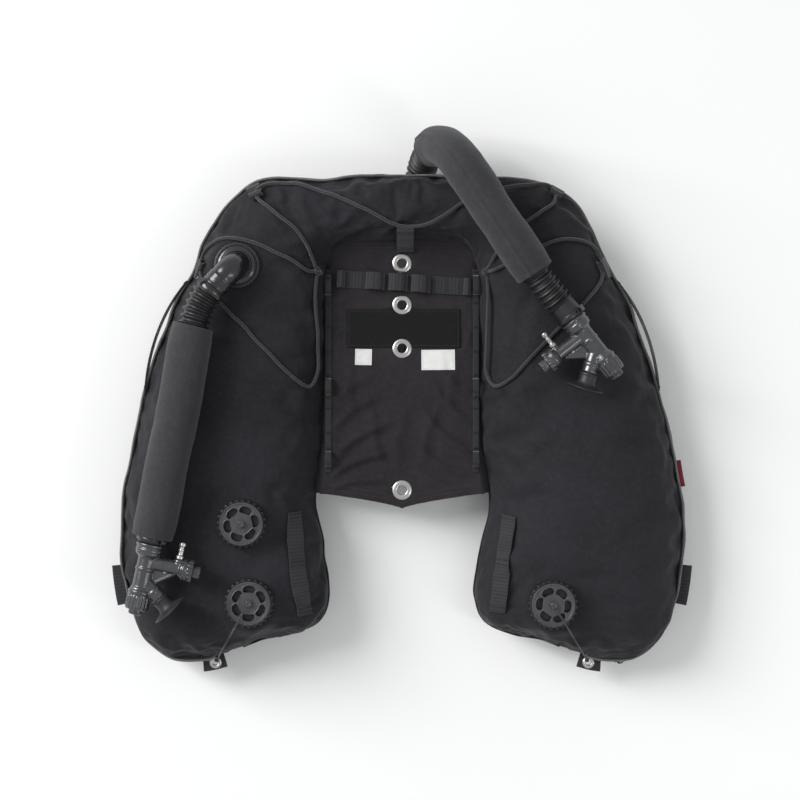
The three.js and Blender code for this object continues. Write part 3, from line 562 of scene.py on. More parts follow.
# from the tip of a lobe to the middle of the neck, right half, in millimetres: outer edge x, y,
# inner edge x, y, swell above and below the seam, height of the seam
STATIONS = [
    (213, -279, 200, -275, 8, 8, 46), (248, -287, 172, -265, 28, 25, 47),
    (290, -284, 136, -257, 42, 37, 48), (322, -258, 101, -241, 53, 46, 48),
    (337, -215, 91, -208, 59, 50, 48), (344, -150, 100, -150, 62, 52, 48),
    (341, -80, 110, -95, 62, 52, 48), (326, -8, 101, -20, 62, 52, 48),
    (308, 65, 98, 55, 62, 52, 48), (280, 140, 97, 130, 60, 51, 50),
    (250, 200, 96, 185, 54, 44, 56), (232, 243, 92, 209, 48, 38, 62),
    (203, 279, 83, 221, 42, 34, 68), (160, 298, 66, 228, 37, 31, 73),
    (95, 297, 42, 230, 33, 30, 76), (45, 301, 20, 230, 32, 30, 76),
    (0, 304, 0, 230, 32, 30, 76),
]
FULLNESS = 2.4
TIP = 0.004
right_half = np.array(STATIONS, float) * MM
RAILS = np.vstack([right_half * (-1, 1, -1, 1, 1, 1, 1), right_half[:-1][::-1]])


def rails(ts):
    return along(RAILS, ts, even=True)


def outer_edge(t, out, height):
    """A point pushed outwards from the outer edge of the lobes, and the way outwards."""
    t = np.atleast_1d(np.asarray(t, float))
    r, ahead, back = rails(t), rails(np.minimum(t + 1e-4, 1)), rails(np.maximum(t - 1e-4, 0))
    way = unit(ahead[:, :2] - back[:, :2])
    away = np.stack([-way[:, 1], way[:, 0]], axis=1)
    plan = r[:, :2] + away * np.reshape(out, (-1, 1))
    z = r[:, 6] + height
    return np.column_stack([plan, z]), np.column_stack([away, np.zeros(len(t))])


def lobe_points(ts, angles):
    """The lobes' surface: rows along the horseshoe, columns from the inner edge over the front."""
    r = rails(ts)[:, None]
    c, s = np.cos(angles)[None], np.sin(angles)[None]
    across = -np.sign(c) * np.abs(c) ** (2 / FULLNESS)
    lift = np.abs(s) ** (2 / FULLNESS)
    outer, inner = r[..., 0:2], r[..., 2:4]
    plan = (outer + inner) / 2 + (outer - inner) / 2 * across[..., None]
    front = r[..., 6] + r[..., 4] * lift
    back = np.maximum(r[..., 6] - r[..., 5] * lift, 0)
    return np.dstack([plan, np.where(s >= -1e-9, front, back)])


def skin_height(xy, side=1):
    """Height of the modelled skin over points of the plan, as the frame has it."""
    r = rails(np.linspace(0, 1, 641))
    inner, way = r[:, 2:4], r[:, 0:2] - r[:, 2:4]
    share = ((xy[:, None] - inner) * way).sum(-1) / (way * way).sum(-1)
    share = np.clip(share, 0, 1)
    distance = np.linalg.norm(xy[:, None] - inner - way * share[..., None], axis=-1)
    best = distance.argmin(axis=1)
    pick = (np.arange(len(xy)), best)
    lift = np.maximum(1 - np.abs(2 * share[pick] - 1) ** FULLNESS, 0) ** (1 / FULLNESS)
    if side > 0:
        return r[best, 6] + r[best, 4] * lift
    return np.maximum(r[best, 6] - r[best, 5] * lift, 0)


def over_skin(xy, standoff):
    """Points held off the modelled skin, square to it."""
    step = 2 * MM
    dx = skin_height(xy + (step, 0)) - skin_height(xy - (step, 0))
    dy = skin_height(xy + (0, step)) - skin_height(xy - (0, step))
    normal = unit(np.column_stack([-dx / (2 * step), -dy / (2 * step), np.ones(len(xy))]))
    return np.column_stack([xy, skin_height(xy)]) + normal * standoff


def seat_height(x, y, radius, side=1):
    turn = turns(12)
    xy = np.array([(x, y)] + [(x + radius * math.cos(a), y + radius * math.sin(a)) for a in turn])
    heights = skin_height(xy, side)
    return heights.max() + 0.4 * MM if side > 0 else heights.min() - 0.4 * MM


VALVES = {
    "upper_left_dump": (-0.1936, -0.1185),
    "lower_left_dump": (-0.1847, -0.2144),
    "lower_right_dump": (0.1825, -0.2165),
}
LEFT_ELBOW = (-0.1997, 0.1936)
RIGHT_ELBOW = (0.016, 0.257)
FLANGE_RADIUS, BACK_FLANGE_RADIUS, NECK_HOLE = 28 * MM, 22 * MM, 19.5 * MM
seats = {name: seat_height(x, y, FLANGE_RADIUS) for name, (x, y) in VALVES.items()}
left_seat = seat_height(*LEFT_ELBOW, FLANGE_RADIUS)
right_seat = seat_height(*RIGHT_ELBOW, BACK_FLANGE_RADIUS, -1)

# creases of the front cover, from, to (mm), half width, depth
CREASES = [
    ((-140, 284), (-116, 236), 6, 3.4), ((-152, 276), (-128, 232), 5, 2.2),
    ((-112, 288), (-100, 244), 7, 2.4), ((-70, 282), (-74, 246), 6, 1.8),
    ((-212, 230), (-178, 238), 9, 2.6), ((-236, 214), (-206, 232), 7, 2.0),
    ((150, 286), (120, 240), 6, 2.0), ((212, 236), (184, 244), 8, 2.0),
    ((-118, 46), (-150, 20), 8, 2.4), ((-114, -4), (-152, -40), 9, 2.6), ((-116, -60), (-160, -84), 8, 2.2),
    ((118, 40), (152, 6), 8, 2.2), ((114, -20), (150, -62), 9, 2.4), ((118, -78), (156, -104), 7, 2.0),
    ((-176, -268), (-150, -232), 7, 2.6), ((-204, -276), (-196, -240), 6, 2.0),
    ((-146, -258), (-128, -226), 7, 2.2),
    ((-232, -288), (-228, -250), 7, 2.2), ((-266, -284), (-252, -250), 7, 1.8),
    ((168, -264), (146, -228), 7, 2.4), ((196, -274), (188, -246), 6, 2.0),
    ((232, -286), (226, -252), 7, 2.2),
    ((262, -284), (246, -252), 7, 2.0), ((128, -252), (118, -226), 7, 2.0),
    ((-318, -210), (-286, -196), 8, 1.8), ((322, -196), (290, -184), 8, 1.8),
    ((330, -110), (296, -104), 8, 1.6),
    ((312, 30), (280, 22), 8, 1.6), ((296, 92), (264, 78), 8, 1.6), ((-306, 46), (-276, 38), 8, 1.6),
]


def crease_depth(x, y):
    total = np.zeros_like(x)
    for start, end, width, depth in CREASES:
        a, b = np.array(start) * MM, np.array(end) * MM
        way = b - a
        share = np.clip(((x - a[0]) * way[0] + (y - a[1]) * way[1]) / way.dot(way), 0, 1)
        bend = 0.12 * np.sin(share * math.pi) * np.linalg.norm(way)
        off = ((x - a[0]) * way[1] - (y - a[1]) * way[0]) / np.linalg.norm(way) - bend
        beyond = np.hypot(x - a[0] - way[0] * share, y - a[1] - way[1] * share)
        wide, fade_out = width * MM, 10 * MM
        near = hump(off, 0, wide) * hump(np.maximum(beyond - abs(off), 0), 0, fade_out)
        fade = np.sin(np.clip(0.15 + 0.85 * share, 0, 1) * math.pi) ** 0.6
        ridge = hump(off, 1.7 * wide, wide) * 0.45 * hump(np.maximum(beyond - 2 * wide, 0), 0, fade_out)
        total += depth * MM * fade * (near - ridge)
    return total


def softly(values, passes):
    """Averages a grid with its neighbours; columns wrap round."""
    out = values.copy()
    for _ in range(passes):
        padded = np.concatenate([out[:1], out, out[-1:]], axis=0)
        out = (padded[:-2] + 2 * padded[1:-1] + padded[2:]) / 4
        out = (np.roll(out, 1, axis=1) + 2 * out + np.roll(out, -1, axis=1)) / 4
    return out


def outward(points):
    """Outward normals of a grid that closes round its columns."""
    du = np.gradient(points, axis=0)
    dv = np.roll(points, -1, axis=1) - np.roll(points, 1, axis=1)
    normals = unit(np.cross(dv, du))
    centre = points.mean(axis=1, keepdims=True)
    return -normals if (normals * (points - centre)).sum() < 0 else normals


def evaluated(made):
    """The object's mesh with its modifiers applied and removed."""
    depsgraph = bpy.context.evaluated_depsgraph_get()
    mesh = bpy.data.meshes.new_from_object(made.evaluated_get(depsgraph))
    made.modifiers.clear()
    made.data = mesh
    return made


ROWS, ROUND = 289, 96
CLOTH_FRAMES = 20


def inflated(start, pins):
    """Blows up the closed cover with cloth simulation and returns its points."""
    made = Form().grid(start, round_v=True, ends="ab").raw("cover_form")
    held = made.vertex_groups.new(name="held")
    held.add(np.flatnonzero(pins.ravel()).tolist(), 1.0, "REPLACE")
    cloth = made.modifiers.new("cloth", "CLOTH")
    settings = cloth.settings
    settings.quality = 4
    settings.mass = 0.25
    settings.tension_stiffness = settings.compression_stiffness = 12
    settings.shear_stiffness = 4
    settings.bending_stiffness = 0.08
    settings.use_pressure = True
    settings.uniform_pressure_force = 4
    settings.shrink_min = -0.055
    settings.vertex_group_mass = "held"
    settings.effector_weights.gravity = 0
    cloth.collision_settings.use_collision = False
    for number in range(1, CLOTH_FRAMES + 1):
        scene.frame_set(number)
    result = made.evaluated_get(bpy.context.evaluated_depsgraph_get()).data
    points = np.empty(len(result.vertices) * 3)
    result.vertices.foreach_get("co", points)
    scene.frame_set(1)
    bpy.data.objects.remove(made)
    return points.reshape(start.shape)


def cover_points():
    """The skin: the modelled surface with gathers at the seams and simulated wrinkles."""
    ts = np.linspace(TIP, 1 - TIP, ROWS)
    angles = np.arange(ROUND) * 2 * math.pi / ROUND
    ideal = lobe_points(ts, angles)
    normals = outward(ideal)
    lift = np.abs(np.sin(angles))[None] ** 0.7
    middle = rails(ts)
    outer_run = lengths(middle[:, 0:2])[:, None]
    inner_run = lengths(middle[:, 2:4])[:, None]
    outer_near = np.exp(-(1 + np.cos(angles))[None] * 9)
    inner_near = np.exp(-(1 - np.cos(angles))[None] * 9)
    side = np.where(np.sin(angles) >= 0, 0, 50)[None]
    gather = outer_near * ripple(outer_run + side * 0.013, 5, 0.021, 2)
    gather = gather + inner_near * ripple(inner_run + side * 0.011, 9, 0.019, 2)
    gather = gather * lift
    start = ideal - normals * (4.5 * MM * lift - 1.6 * MM * gather)[..., None]
    pins = np.zeros((ROWS, ROUND), bool)
    pins[:, 0] = pins[:, ROUND // 2] = True
    for x, y in [*VALVES.values(), LEFT_ELBOW]:
        pins |= (np.hypot(ideal[..., 0] - x, ideal[..., 1] - y) < 0.03) & (np.sin(angles) > 0)[None]
    blown = inflated(start, pins)
    swing = ((blown - ideal) * normals).sum(-1)
    wrinkle = swing - softly(swing, 40)
    cloud = patchy(ideal[..., 0], ideal[..., 1] + 3 * (np.sin(angles) < 0)[None], 11, 0.07, 3)
    calm = 0.8 + 0.6 * (1 - np.abs(np.sin(angles))[None] ** 2)
    height = -2.4 * MM * lift + np.clip(wrinkle * calm, -4.4 * MM, 3.0 * MM)
    height += 1.5 * MM * gather + 0.7 * MM * cloud * lift
    front = (np.sin(angles) > -1e-9)[None]
    height -= 1.5 * np.where(front, crease_depth(ideal[..., 0], ideal[..., 1]), 0) * np.clip(lift * 1.6, 0,
        1)
    points = ideal + normals * height[..., None]
    # the outline draws in and out a little between the tacks of the seam
    for column, run, seed in ((ROUND // 2, outer_run, 21), (0, inner_run, 22)):
        away = unit(ideal[:, column] - ideal[:, (column + ROUND // 2) % ROUND])
        nudge = ripple(run[:, 0], seed, 0.036, 2) * 2.6 * MM - 1.2 * MM
        apart = abs(np.arange(ROUND) - column)
        share = hump(np.minimum(apart, ROUND - apart), 0, 7.0)
        points += away[:, None] * (nudge[:, None] * share[None])[..., None]
    # flat seats under the valves and the flange
    spots = [(x, y, seats[n], 1) for n, (x, y) in VALVES.items()]
    spots += [(*LEFT_ELBOW, left_seat, 1), (*RIGHT_ELBOW, right_seat, -1)]
    for x, y, seat, facing in spots:
        reach = np.hypot(points[..., 0] - x, points[..., 1] - y)
        chosen = (np.sin(angles) * facing > 0.2)[None]
        share = (1 - rise(reach, 0.030, 0.047)) * chosen
        level = seat - facing * 0.5 * MM
        points[..., 2] = points[..., 2] * (1 - share) + level * share
    points[..., 2] = np.maximum(points[..., 2], 0.6 * MM)
    return points


def open_up(work, x, y, radius):
    """Deletes the faces of a mesh within a radius of an upright axis."""
    doomed = []
    for face in work.faces:
        c = face.calc_center_median()
        if math.hypot(c.x - x, c.y - y) < radius:
            doomed.append(face)
    bmesh.ops.delete(work, geom=doomed, context="FACES")


def half_cover(name, columns, openings, node):
    """One half of the cover, of cloth and lining, open where the valve necks pass."""
    made = Form().grid(skin[:, columns], ends="ab").raw(name)
    made.modifiers.new("finer", "SUBSURF").levels = 1
    evaluated(made)
    with edited(made.data) as work:
        for x, y in openings:
            open_up(work, x, y, NECK_HOLE)
        bmesh.ops.recalc_face_normals(work, faces=work.faces)
        up = sum(f.normal.z * f.calc_area() for f in work.faces)
        if (up < 0) == (node == "front_shell"):
            bmesh.ops.reverse_faces(work, faces=work.faces)
    thick = made.modifiers.new("cloth_and_lining", "SOLIDIFY")
    thick.thickness = 1.0 * MM
    thick.offset = -1
    evaluated(made)
    shaded(made)
    finished(made, SHELL, "wing", node)


skin = cover_points()
half = ROUND // 2
half_cover("front_cover", np.arange(half + 1), [*VALVES.values(), LEFT_ELBOW], "front_shell")
half_cover("back_cover", np.r_[half:ROUND, 0], [RIGHT_ELBOW], "back_shell")


def bladder(name, columns, facing, node):
    """An air cell that fills its half of the cover and stays clear of the valve necks."""
    normals = outward(skin)
    rows = skin[14:-14]
    middle = (rows[:, 0] + rows[:, half]) / 2
    inset = rows[:, columns] - normals[14:-14, columns] * 7 * MM
    for x, y in [*VALVES.values(), LEFT_ELBOW, RIGHT_ELBOW]:
        near = 1 - rise(np.hypot(inset[..., 0] - x, inset[..., 1] - y), 0.022, 0.034)
        inset[..., 2] -= facing * near * 15 * MM
    floor_level = middle[:, None, 2] + facing * 1.5 * MM
    inset[..., 2] = np.where((inset[..., 2] - floor_level) * facing < 0, floor_level, inset[..., 2])
    share = np.linspace(0, 1, 12)[1:-1]
    flat = inset[:, -1:] * (1 - share)[None, :, None] + inset[:, :1] * share[None, :, None]
    form = Form().grid(np.concatenate([inset, flat], axis=1), round_v=True, ends="ab")
    return form.build(name, FILM, "bladder_film", "wing", node, sharp=60)


bladder("front_air_cell", np.arange(2, half - 1, 2), 1, "front_bladder")
bladder("back_air_cell", np.arange(half + 2, ROUND - 1, 2), -1, "back_bladder")

i, j = (a.ravel() for a in np.meshgrid(np.arange(ROWS - 1), np.arange(ROUND), indexing="ij"))
k = (j + 1) % ROUND
quads = np.stack([i * ROUND + j, (i + 1) * ROUND + j, (i + 1) * ROUND + k, i * ROUND + k], axis=1)
skin_tree = BVHTree.FromPolygons(skin.reshape(-1, 3).tolist(), quads.tolist())


def skin_under(xy):
    """Height and slope of the finished skin under points of the plan."""
    heights, normals = [], []
    for x, y in np.atleast_2d(xy):
        hit, normal, _, _ = skin_tree.ray_cast(Vector((x, y, 0.5)), Vector((0, 0, -1)))
        if hit is None:
            heights.append(np.nan)
            normals.append((0, 0, 1))
        else:
            heights.append(hit.z)
            normals.append(tuple(normal if normal.z > 0 else -normal))
    return np.array(heights), np.array(normals)


def laid_on_skin(line, gap, reach=5 * MM):
    """Lowers a line that the frame holds off the skin until it lies gap above the finished one."""
    out = []
    for p in line:
        near, _, _, distance = skin_tree.find_nearest(Vector(p))
        away = Vector(p) - near
        move = min(max(distance - gap, -reach), reach) if away.z >= 0 else 0
        out.append(np.array(p) - np.array(away.normalized()) * move)
    out = np.array(out)
    shift = out - line
    for _ in range(6):
        shift[1:-1] = (shift[:-2] + 2 * shift[1:-1] + shift[2:]) / 4
    return line + shift


# ---- stitching, ribbons and other sewn things ----

def stitches(name, line, up, body, pitch=3.6, size=0.55, paint=THREAD, slot="webbing"):
    """A row of thread stitches lying along a line. up is one direction or one per point."""
    line = np.asarray(line, float)
    total = lengths(line)[-1]
    count = max(int(total / (pitch * MM)), 1)
    middles = (np.arange(count) + 0.5) * total / count
    length = 0.36 * pitch * MM
    up = np.broadcast_to(np.asarray(up, float), line.shape)
    at = respaced(line, middles)
    way = unit(respaced(line, np.minimum(middles + length, total)) - respaced(line,
        np.maximum(middles - length, 0)))
    over = unit(np.stack([np.interp(middles, lengths(line), up[:, k]) for k in range(3)], 1))
    side = unit(np.cross(over, way))
    form = Form()
    reach = np.array([-1, -0.7, 0, 0.7, 1.0]) * length
    thick = np.array([0.25, 0.85, 1.0, 0.85, 0.25]) * size * MM / 2
    turn = turns(6)
    base = at - over * 0.1 * MM
    ring = (
        base[:, None, None]
        + way[:, None, None] * reach[None, :, None, None]
        + side[:, None, None] * (np.cos(turn)[None, None, :, None] * thick[None, :, None, None])
        + over[:, None, None] * (np.sin(turn)[None, None, :, None] * thick[None, :, None, None])
    )
    for each in ring:
        form.grid(each, round_v=True, ends="ab")
    return form.build(name, paint, slot, body, sharp=60)


def ribbon(line, side, up, width, thick=1.5, across=8, crown=0.0):
    """A strap whose middle follows a line; side and up are its directions at each point."""
    line, side, up = (np.asarray(a, float) for a in (line, side, up))
    side, up = np.broadcast_to(side, line.shape), np.broadcast_to(up, line.shape)
    share = np.linspace(-1, 1, across + 1)
    edge = 1 - np.abs(share) ** 8 * 0.45
    top = line[:, None] + side[:, None] * (share * width * MM / 2)[None, :, None]
    lift = up[:, None] * (crown * MM * (1 - share**2))[None, :, None]
    off = up[:, None] * (thick * MM / 2 * edge)[None, :, None]
    ring = np.concatenate([top + lift + off, (top + lift - off)[:, ::-1]], axis=1)
    return Form().grid(ring, round_v=True, ends="ab")


def upward(line, side):
    """Directions square to a line and to side, on the upper side."""
    up = np.cross(unit(np.gradient(line, axis=0)), side)
    return np.where(up[:, 2:] < 0, -up, up)


def bar_tack(name, centre, way, side, up, long, rows):
    """A dense zigzag of thread across a strap."""
    share = np.linspace(-1, 1, 2 * rows + 1)
    swing = np.where(np.arange(2 * rows + 1) % 2, 1.0, -1.0)
    centre, way, side, up = (np.asarray(a, float) for a in (centre, way, side, up))
    line = centre + side * (share * long * MM / 2)[:, None] + way * (swing * 1.3 * MM)[:, None]
    return Form().tube(line, 0.32 * MM, sides=6, up=up).build(name, THREAD, "webbing", "wing", sharp=70)


# ---- the centre panel ----

PANEL_TOP = 64 * MM
GROMMET_ROWS = {
    "grommet_top": 0.199, "grommet_upper_middle": 0.1477,
    "grommet_lower_middle": 0.0944, "grommet_bottom": 0.199 - 0.2794,
}


def inner_rail(y):
    """Half width between the lobes' inner edges and the height of their seam, at a row of the panel."""
    r = rails(np.linspace(0.5, 0.93, 400))
    order = np.argsort(r[:, 3])
    return np.interp(y, r[order, 3], r[order, 2]), np.interp(y, r[order, 3], r[order, 6])


def panel_low(x):
    """The scalloped lower edge."""
    share = np.clip(np.abs(x) / 0.094, 0, 1)
    return -0.102 + 0.018 * share**0.72


def wrinkle_line(x, y, start, end, width, height):
    a, b = np.array(start) * MM, np.array(end) * MM
    way = b - a
    size = np.linalg.norm(way)
    share = ((x - a[0]) * way[0] + (y - a[1]) * way[1]) / size**2
    off = ((x - a[0]) * way[1] - (y - a[1]) * way[0]) / size
    off = off + 0.05 * size * np.sin(np.clip(share, 0, 1) * math.pi * 1.3)
    inside = rise(share, -0.08, 0.2) * (1 - rise(share, 0.75, 1.08))
    ridge = hump(off, 0, width * MM)
    trough = hump(off, 1.9 * width * MM, 1.3 * width * MM)
    return height * MM * inside * (ridge - 0.6 * trough)


PANEL_WRINKLES = [
    ((-86, -62), (-14, -30), 4.5, 1.9), ((-84, -40), (-10, 10), 5.5, 2.0), ((-86, -78), (-22, -66), 4, 1.5),
    ((-88, -8), (-30, 40), 6, 1.5), ((-82, 30), (-36, 66), 6, 1.0), ((84, -60), (18, -34), 4.5, 1.8),
    ((86, -34), (20, 14), 5.5, 1.9), ((84, -80), (24, -66), 4, 1.4), ((86, 0), (36, 44), 6, 1.3),
    ((82, 36), (44, 70), 6, 1.0), ((-24, -50), (-40, 24), 6, 1.1), ((26, -48), (44, 30), 6, 1.1),
    ((-4, -60), (4, 30), 7, 0.9), ((-60, 10), (-66, 78), 6, 0.9), ((62, 14), (64, 80), 6, 0.9),
    ((-86, 150), (-30, 163), 5, 0.8), ((84, 146), (34, 160), 5, 0.8), ((-70, 200), (-20, 214), 6, 0.9),
    ((70, 204), (22, 214), 6, 0.9), ((-80, 118), (-72, 88), 5, 0.8), ((82, 118), (76, 86), 5, 0.8),
]


def panel_surface(x, y):
    """Height of the panel's upper face."""
    wide, seam = inner_rail(y)
    inside = np.clip((wide - np.abs(x)) / 0.012, 0, 1)
    z = PANEL_TOP + 0.2 * MM + np.zeros_like(x)
    for start, end, width, height in PANEL_WRINKLES:
        z = z + 1.7 * wrinkle_line(x, y, start, end, width, height) * inside
    z = z + 0.45 * MM * patchy(x, y, 31, 0.035, 3)
    for row in GROMMET_ROWS.values():
        reach = np.hypot(x, y - row)
        flat = 1 - rise(reach, 0.0135, 0.026)
        z = z * (1 - flat) + (PANEL_TOP + 0.1 * MM) * flat
        z = z + 0.5 * MM * hump(reach, 0.016, 0.0028)
    # lies level where the patch, the daisy chain and the edge webbing are sewn on
    sewn = (1 - rise(np.abs(y - 0.119), 0.024, 0.034)) * (1 - rise(np.abs(x), 0.072, 0.084))
    sewn = np.maximum(sewn, (1 - rise(np.abs(y - 0.175), 0.012, 0.022)))
    sewn = np.maximum(sewn, rise(np.abs(x), 0.082, 0.087) * (y < 0.2))
    z = np.minimum(z, PANEL_TOP + 0.25 * MM + (1 - sewn) * 0.004)
    top = rise(y, 0.212, 0.230)
    z = z * (1 - top) + 0.0735 * top
    drop = (1 - inside) ** 2 * (1 - top)
    return z * (1 - drop) + (seam + 2.5 * MM) * drop


def panel_sheet():
    """A grid over the panel, fitted between the lobes and down to the lower edge."""
    u = np.linspace(-1, 1, 113)
    u = np.sign(u) * np.abs(u) ** 0.92
    v = np.linspace(0, 1, 169)
    low = panel_low(u * 0.1)
    for _ in range(4):
        y = low[None] * (1 - v[:, None]) + 0.2295 * v[:, None]
        wide, _ = inner_rail(y)
        x = u[None] * (wide - 1.0 * MM)
        low = panel_low(x[0])
    return np.dstack([x, y, panel_surface(x, y)])


def pierced(points, holes, name, paint, nodes, thickness, radius=0.0):
    """A sheet with round holes, cut and drawn back to true circles, then thickened downwards."""
    made = Form().grid(points).raw(name, uv=True)
    with edited(made.data) as work:
        for hx, hy in holes:
            open_up(work, hx, hy, radius)
            for vert in work.verts:
                reach = math.hypot(vert.co.x - hx, vert.co.y - hy)
                if vert.is_boundary and reach < radius * 1.5 + 2 * MM:
                    vert.co.x = hx + (vert.co.x - hx) / reach * radius
                    vert.co.y = hy + (vert.co.y - hy) / reach * radius
        bmesh.ops.recalc_face_normals(work, faces=work.faces)
        if sum(f.normal.z for f in work.faces) < 0:
            bmesh.ops.reverse_faces(work, faces=work.faces)
    thick = made.modifiers.new("thickness", "SOLIDIFY")
    thick.thickness, thick.offset = thickness * MM, -1
    evaluated(made)
    shaded(made, 50)
    return finished(made, paint, "wing", nodes)


panel = pierced(
    panel_sheet(), [(0, y) for y in GROMMET_ROWS.values()], "center_panel_cloth", PANEL,
    "center_panel", 3.0, 7.4 * MM)


def on_panel(x, y, lift):
    """A line over the panel, lift above its surface."""
    x, y = np.broadcast_arrays(x, y)
    return np.column_stack([x, y, panel_surface(x, y) + lift])


def panel_stitching():
    """Rows of stitches down the sides, along the lower hem and under the neck."""
    ys = np.linspace(-0.078, 0.200, 300)
    xs = np.linspace(-0.092, 0.092, 240)
    arc = np.interp(np.linspace(0, 1, 200), [0, 1], [-0.062, 0.062])
    rows = [(f"panel_side_stitching_{tag}", on_panel(side * 0.0955, ys, 0.15 * MM))
            for side, tag in ((-1, "left"), (1, "right"))]
    rows += [(f"panel_hem_stitching_{k}", on_panel(xs, panel_low(xs) + inset, 0.12 * MM))
             for k, inset in ((1, 0.005), (2, 0.011))]
    rows.append(("panel_upper_stitching", on_panel(arc, 0.2185, 0.15 * MM)))
    return [stitches(name, line, (0, 0, 1), "wing", slot="panel_fabric") for name, line in rows]


def hem_roll():
    """The rolled lower edge of the panel."""
    xs = np.linspace(-0.101, 0.101, 240)
    line = on_panel(xs, panel_low(xs) + 0.0006, -1.4 * MM)
    return Form().tube(line, (1.9 + 0.12 * ripple(xs, 3, 0.008)) * MM, sides=14).build(
        "panel_hem_roll", PANEL, "panel_fabric", "wing")


panel_trims = [*panel_stitching(), hem_roll()]


def grommet(name, x, y, z, bore, rim, grip, node):
    """A rolled eyelet: domed flange above, washer below, and the barrel between them."""
    lip = 1.1
    neck = min(7.2, rim - 3.2)
    profile = [
        (bore, -grip), (rim - 0.6, -grip), (rim, -grip + 0.5), (rim - 0.2, lip - grip), (neck, lip - grip),
        (neck, grip - lip), (rim - 0.2, grip - lip), (rim, grip - 0.75), (rim - 0.8, grip - 0.25),
        ((rim + bore) / 2 + 0.8, grip + 0.15), (bore + 1.5, grip + 0.1), (bore + 0.5, grip - 0.25),
        (bore, grip - 1.0), (bore, -grip),
    ]
    form = Form().lathe(mm(*profile), 72, placed(x, y, z), soft=0.35 * MM)
    form.build(name, NICKEL, "nickel", "wing", node, sharp=50)


for node, y in GROMMET_ROWS.items():
    grommet(f"{node}_eyelet", 0, y, PANEL_TOP - 2 * MM, 5.6, 12, 3.5, node)

# ---- hook-and-loop patch ----

PATCH = (-0.068, 0.0715, 0.0952, 0.1427)


def loop_patch():
    x0, x1, y0, y1 = PATCH
    xs, ys = np.meshgrid(np.linspace(x0, x1, 187), np.linspace(y0, y1, 65))
    xs = xs + 0.25 * MM * patchy(xs, ys, 3, 0.004, 1)
    edge = np.minimum.reduce([xs - x0, x1 - xs, ys - y0, y1 - ys])
    sewn = hump(edge, 2.6 * MM, 1.0 * MM)
    z = PANEL_TOP + 2.3 * MM + 0.42 * MM * patchy(xs, ys, 17, 0.0021, 2)
    z = z + 0.25 * MM * patchy(xs, ys, 18, 0.012, 2)
    z = z - 0.8 * MM * sewn - 1.0 * MM * np.exp(-np.maximum(edge, 0) / (0.5 * MM))
    holes = [(0, GROMMET_ROWS[f"grommet_{place}_middle"]) for place in ("upper", "lower")]
    pierced(
        np.dstack([xs, ys, z]), holes, "loop_patch_pile", PILE, "loop_patch", 1.5, 12.9 * MM)
    inset = 2.6 * MM
    z = PANEL_TOP + 1.9 * MM
    high, low = y1 - inset, y0 + inset
    for tag, near, far in (("left", -0.0145, x0 + inset), ("right", 0.0145, x1 - inset)):
        line = np.array([(near, high, z), (far, high, z), (far, low, z), (near, low, z)])
        line = respaced(line, np.linspace(0, lengths(line)[-1], 120))
        stitches(f"patch_stitching_{tag}", line, (0, 0, 1), "wing", pitch=2.6, slot="loop_pile")


loop_patch()

# ---- webbing of the panel ----

def looped_profile(low, high, loops):
    """Side view of a band with arched loops, each loop [middle, span, rise]."""
    points = [(low, 0.0)]
    for middle, span, height in loops:
        left = ((-0.52, 0.0), (-0.46, 0.25), (-0.40, height * 0.62), (-0.22, height * 0.95))
        points += [(middle + span * a, b) for a, b in left] + [(middle, height)]
        points += [(middle - span * a, b) for a, b in left[::-1]]
    points.append((high, 0.0))
    dense = along(np.array([(a, b, 0) for a, b in points]), np.linspace(0, 1, 900))
    dense[:, 1] = np.clip(dense[:, 1], 0, None)
    return respaced(dense, np.arange(0, lengths(dense)[-1], 0.9))[:, :2] * MM


def daisy_chain():
    loops = [(-78, 9, 7), (-36, 24, 10), (-8, 24, 10), (20, 24, 10), (78, 9, 7)]
    turn = math.radians(-3.5)
    way, side = np.array((math.cos(turn), math.sin(turn), 0)), np.array((-math.sin(turn), math.cos(turn),
        0))
    profile = looped_profile(-84, 84, loops)
    base = PANEL_TOP + 1.3 * MM
    line = np.array((0.003, 0.175, base)) + profile[:, :1] * way + profile[:, 1:] * np.array((0, 0, 1.0))
    sway = 0.5 * MM * ripple(profile[:, 0], 71, 0.03)
    line = line + side * sway[:, None]
    ribbon(line, side, upward(line, side), 21, 1.5, across=10).build(
        "daisy_chain_band", GRIP, "webbing", "wing", "daisy_chain_webbing")
    for k, place in enumerate((-68, -52, -22, 6, 36, 52, 68)):
        centre = np.array((0.003, 0.175, base + 0.8 * MM)) + way * place * MM
        bar_tack(f"daisy_chain_tack_{k + 1}", centre, way, side, (0, 0, 1), 18, 14)


def edge_webbing():
    loops = [(-42, 20, 8), (47, 22, 9), (172, 26, 10)]
    profile = looped_profile(-58, 192, loops)
    for tag, side in (("left", -1), ("right", 1)):
        line = np.column_stack([
            side * (0.0908 + 0.35 * MM * ripple(profile[:, 0], 5 + side, 0.04)),
            profile[:, 0], PANEL_TOP + 1.2 * MM + profile[:, 1]])
        across = np.array((1.0, 0, 0))
        ribbon(line, across, upward(line, across), 7.5, 1.4, across=6).build(
            f"panel_edge_band_{tag}", WEBBING, "webbing", "wing", f"panel_edge_webbing_{tag}")
        for k, y in enumerate((-54, -29, -10, 20, 33, 61, 90, 120, 150, 188)):
            centre = np.array((side * 0.0908, y * MM, PANEL_TOP + 2.0 * MM))
            bar_tack(f"panel_edge_tack_{tag}_{k + 1}", centre, (0, 1, 0), (1, 0, 0), (0, 0, 1), 6, 6)


daisy_chain()
edge_webbing()


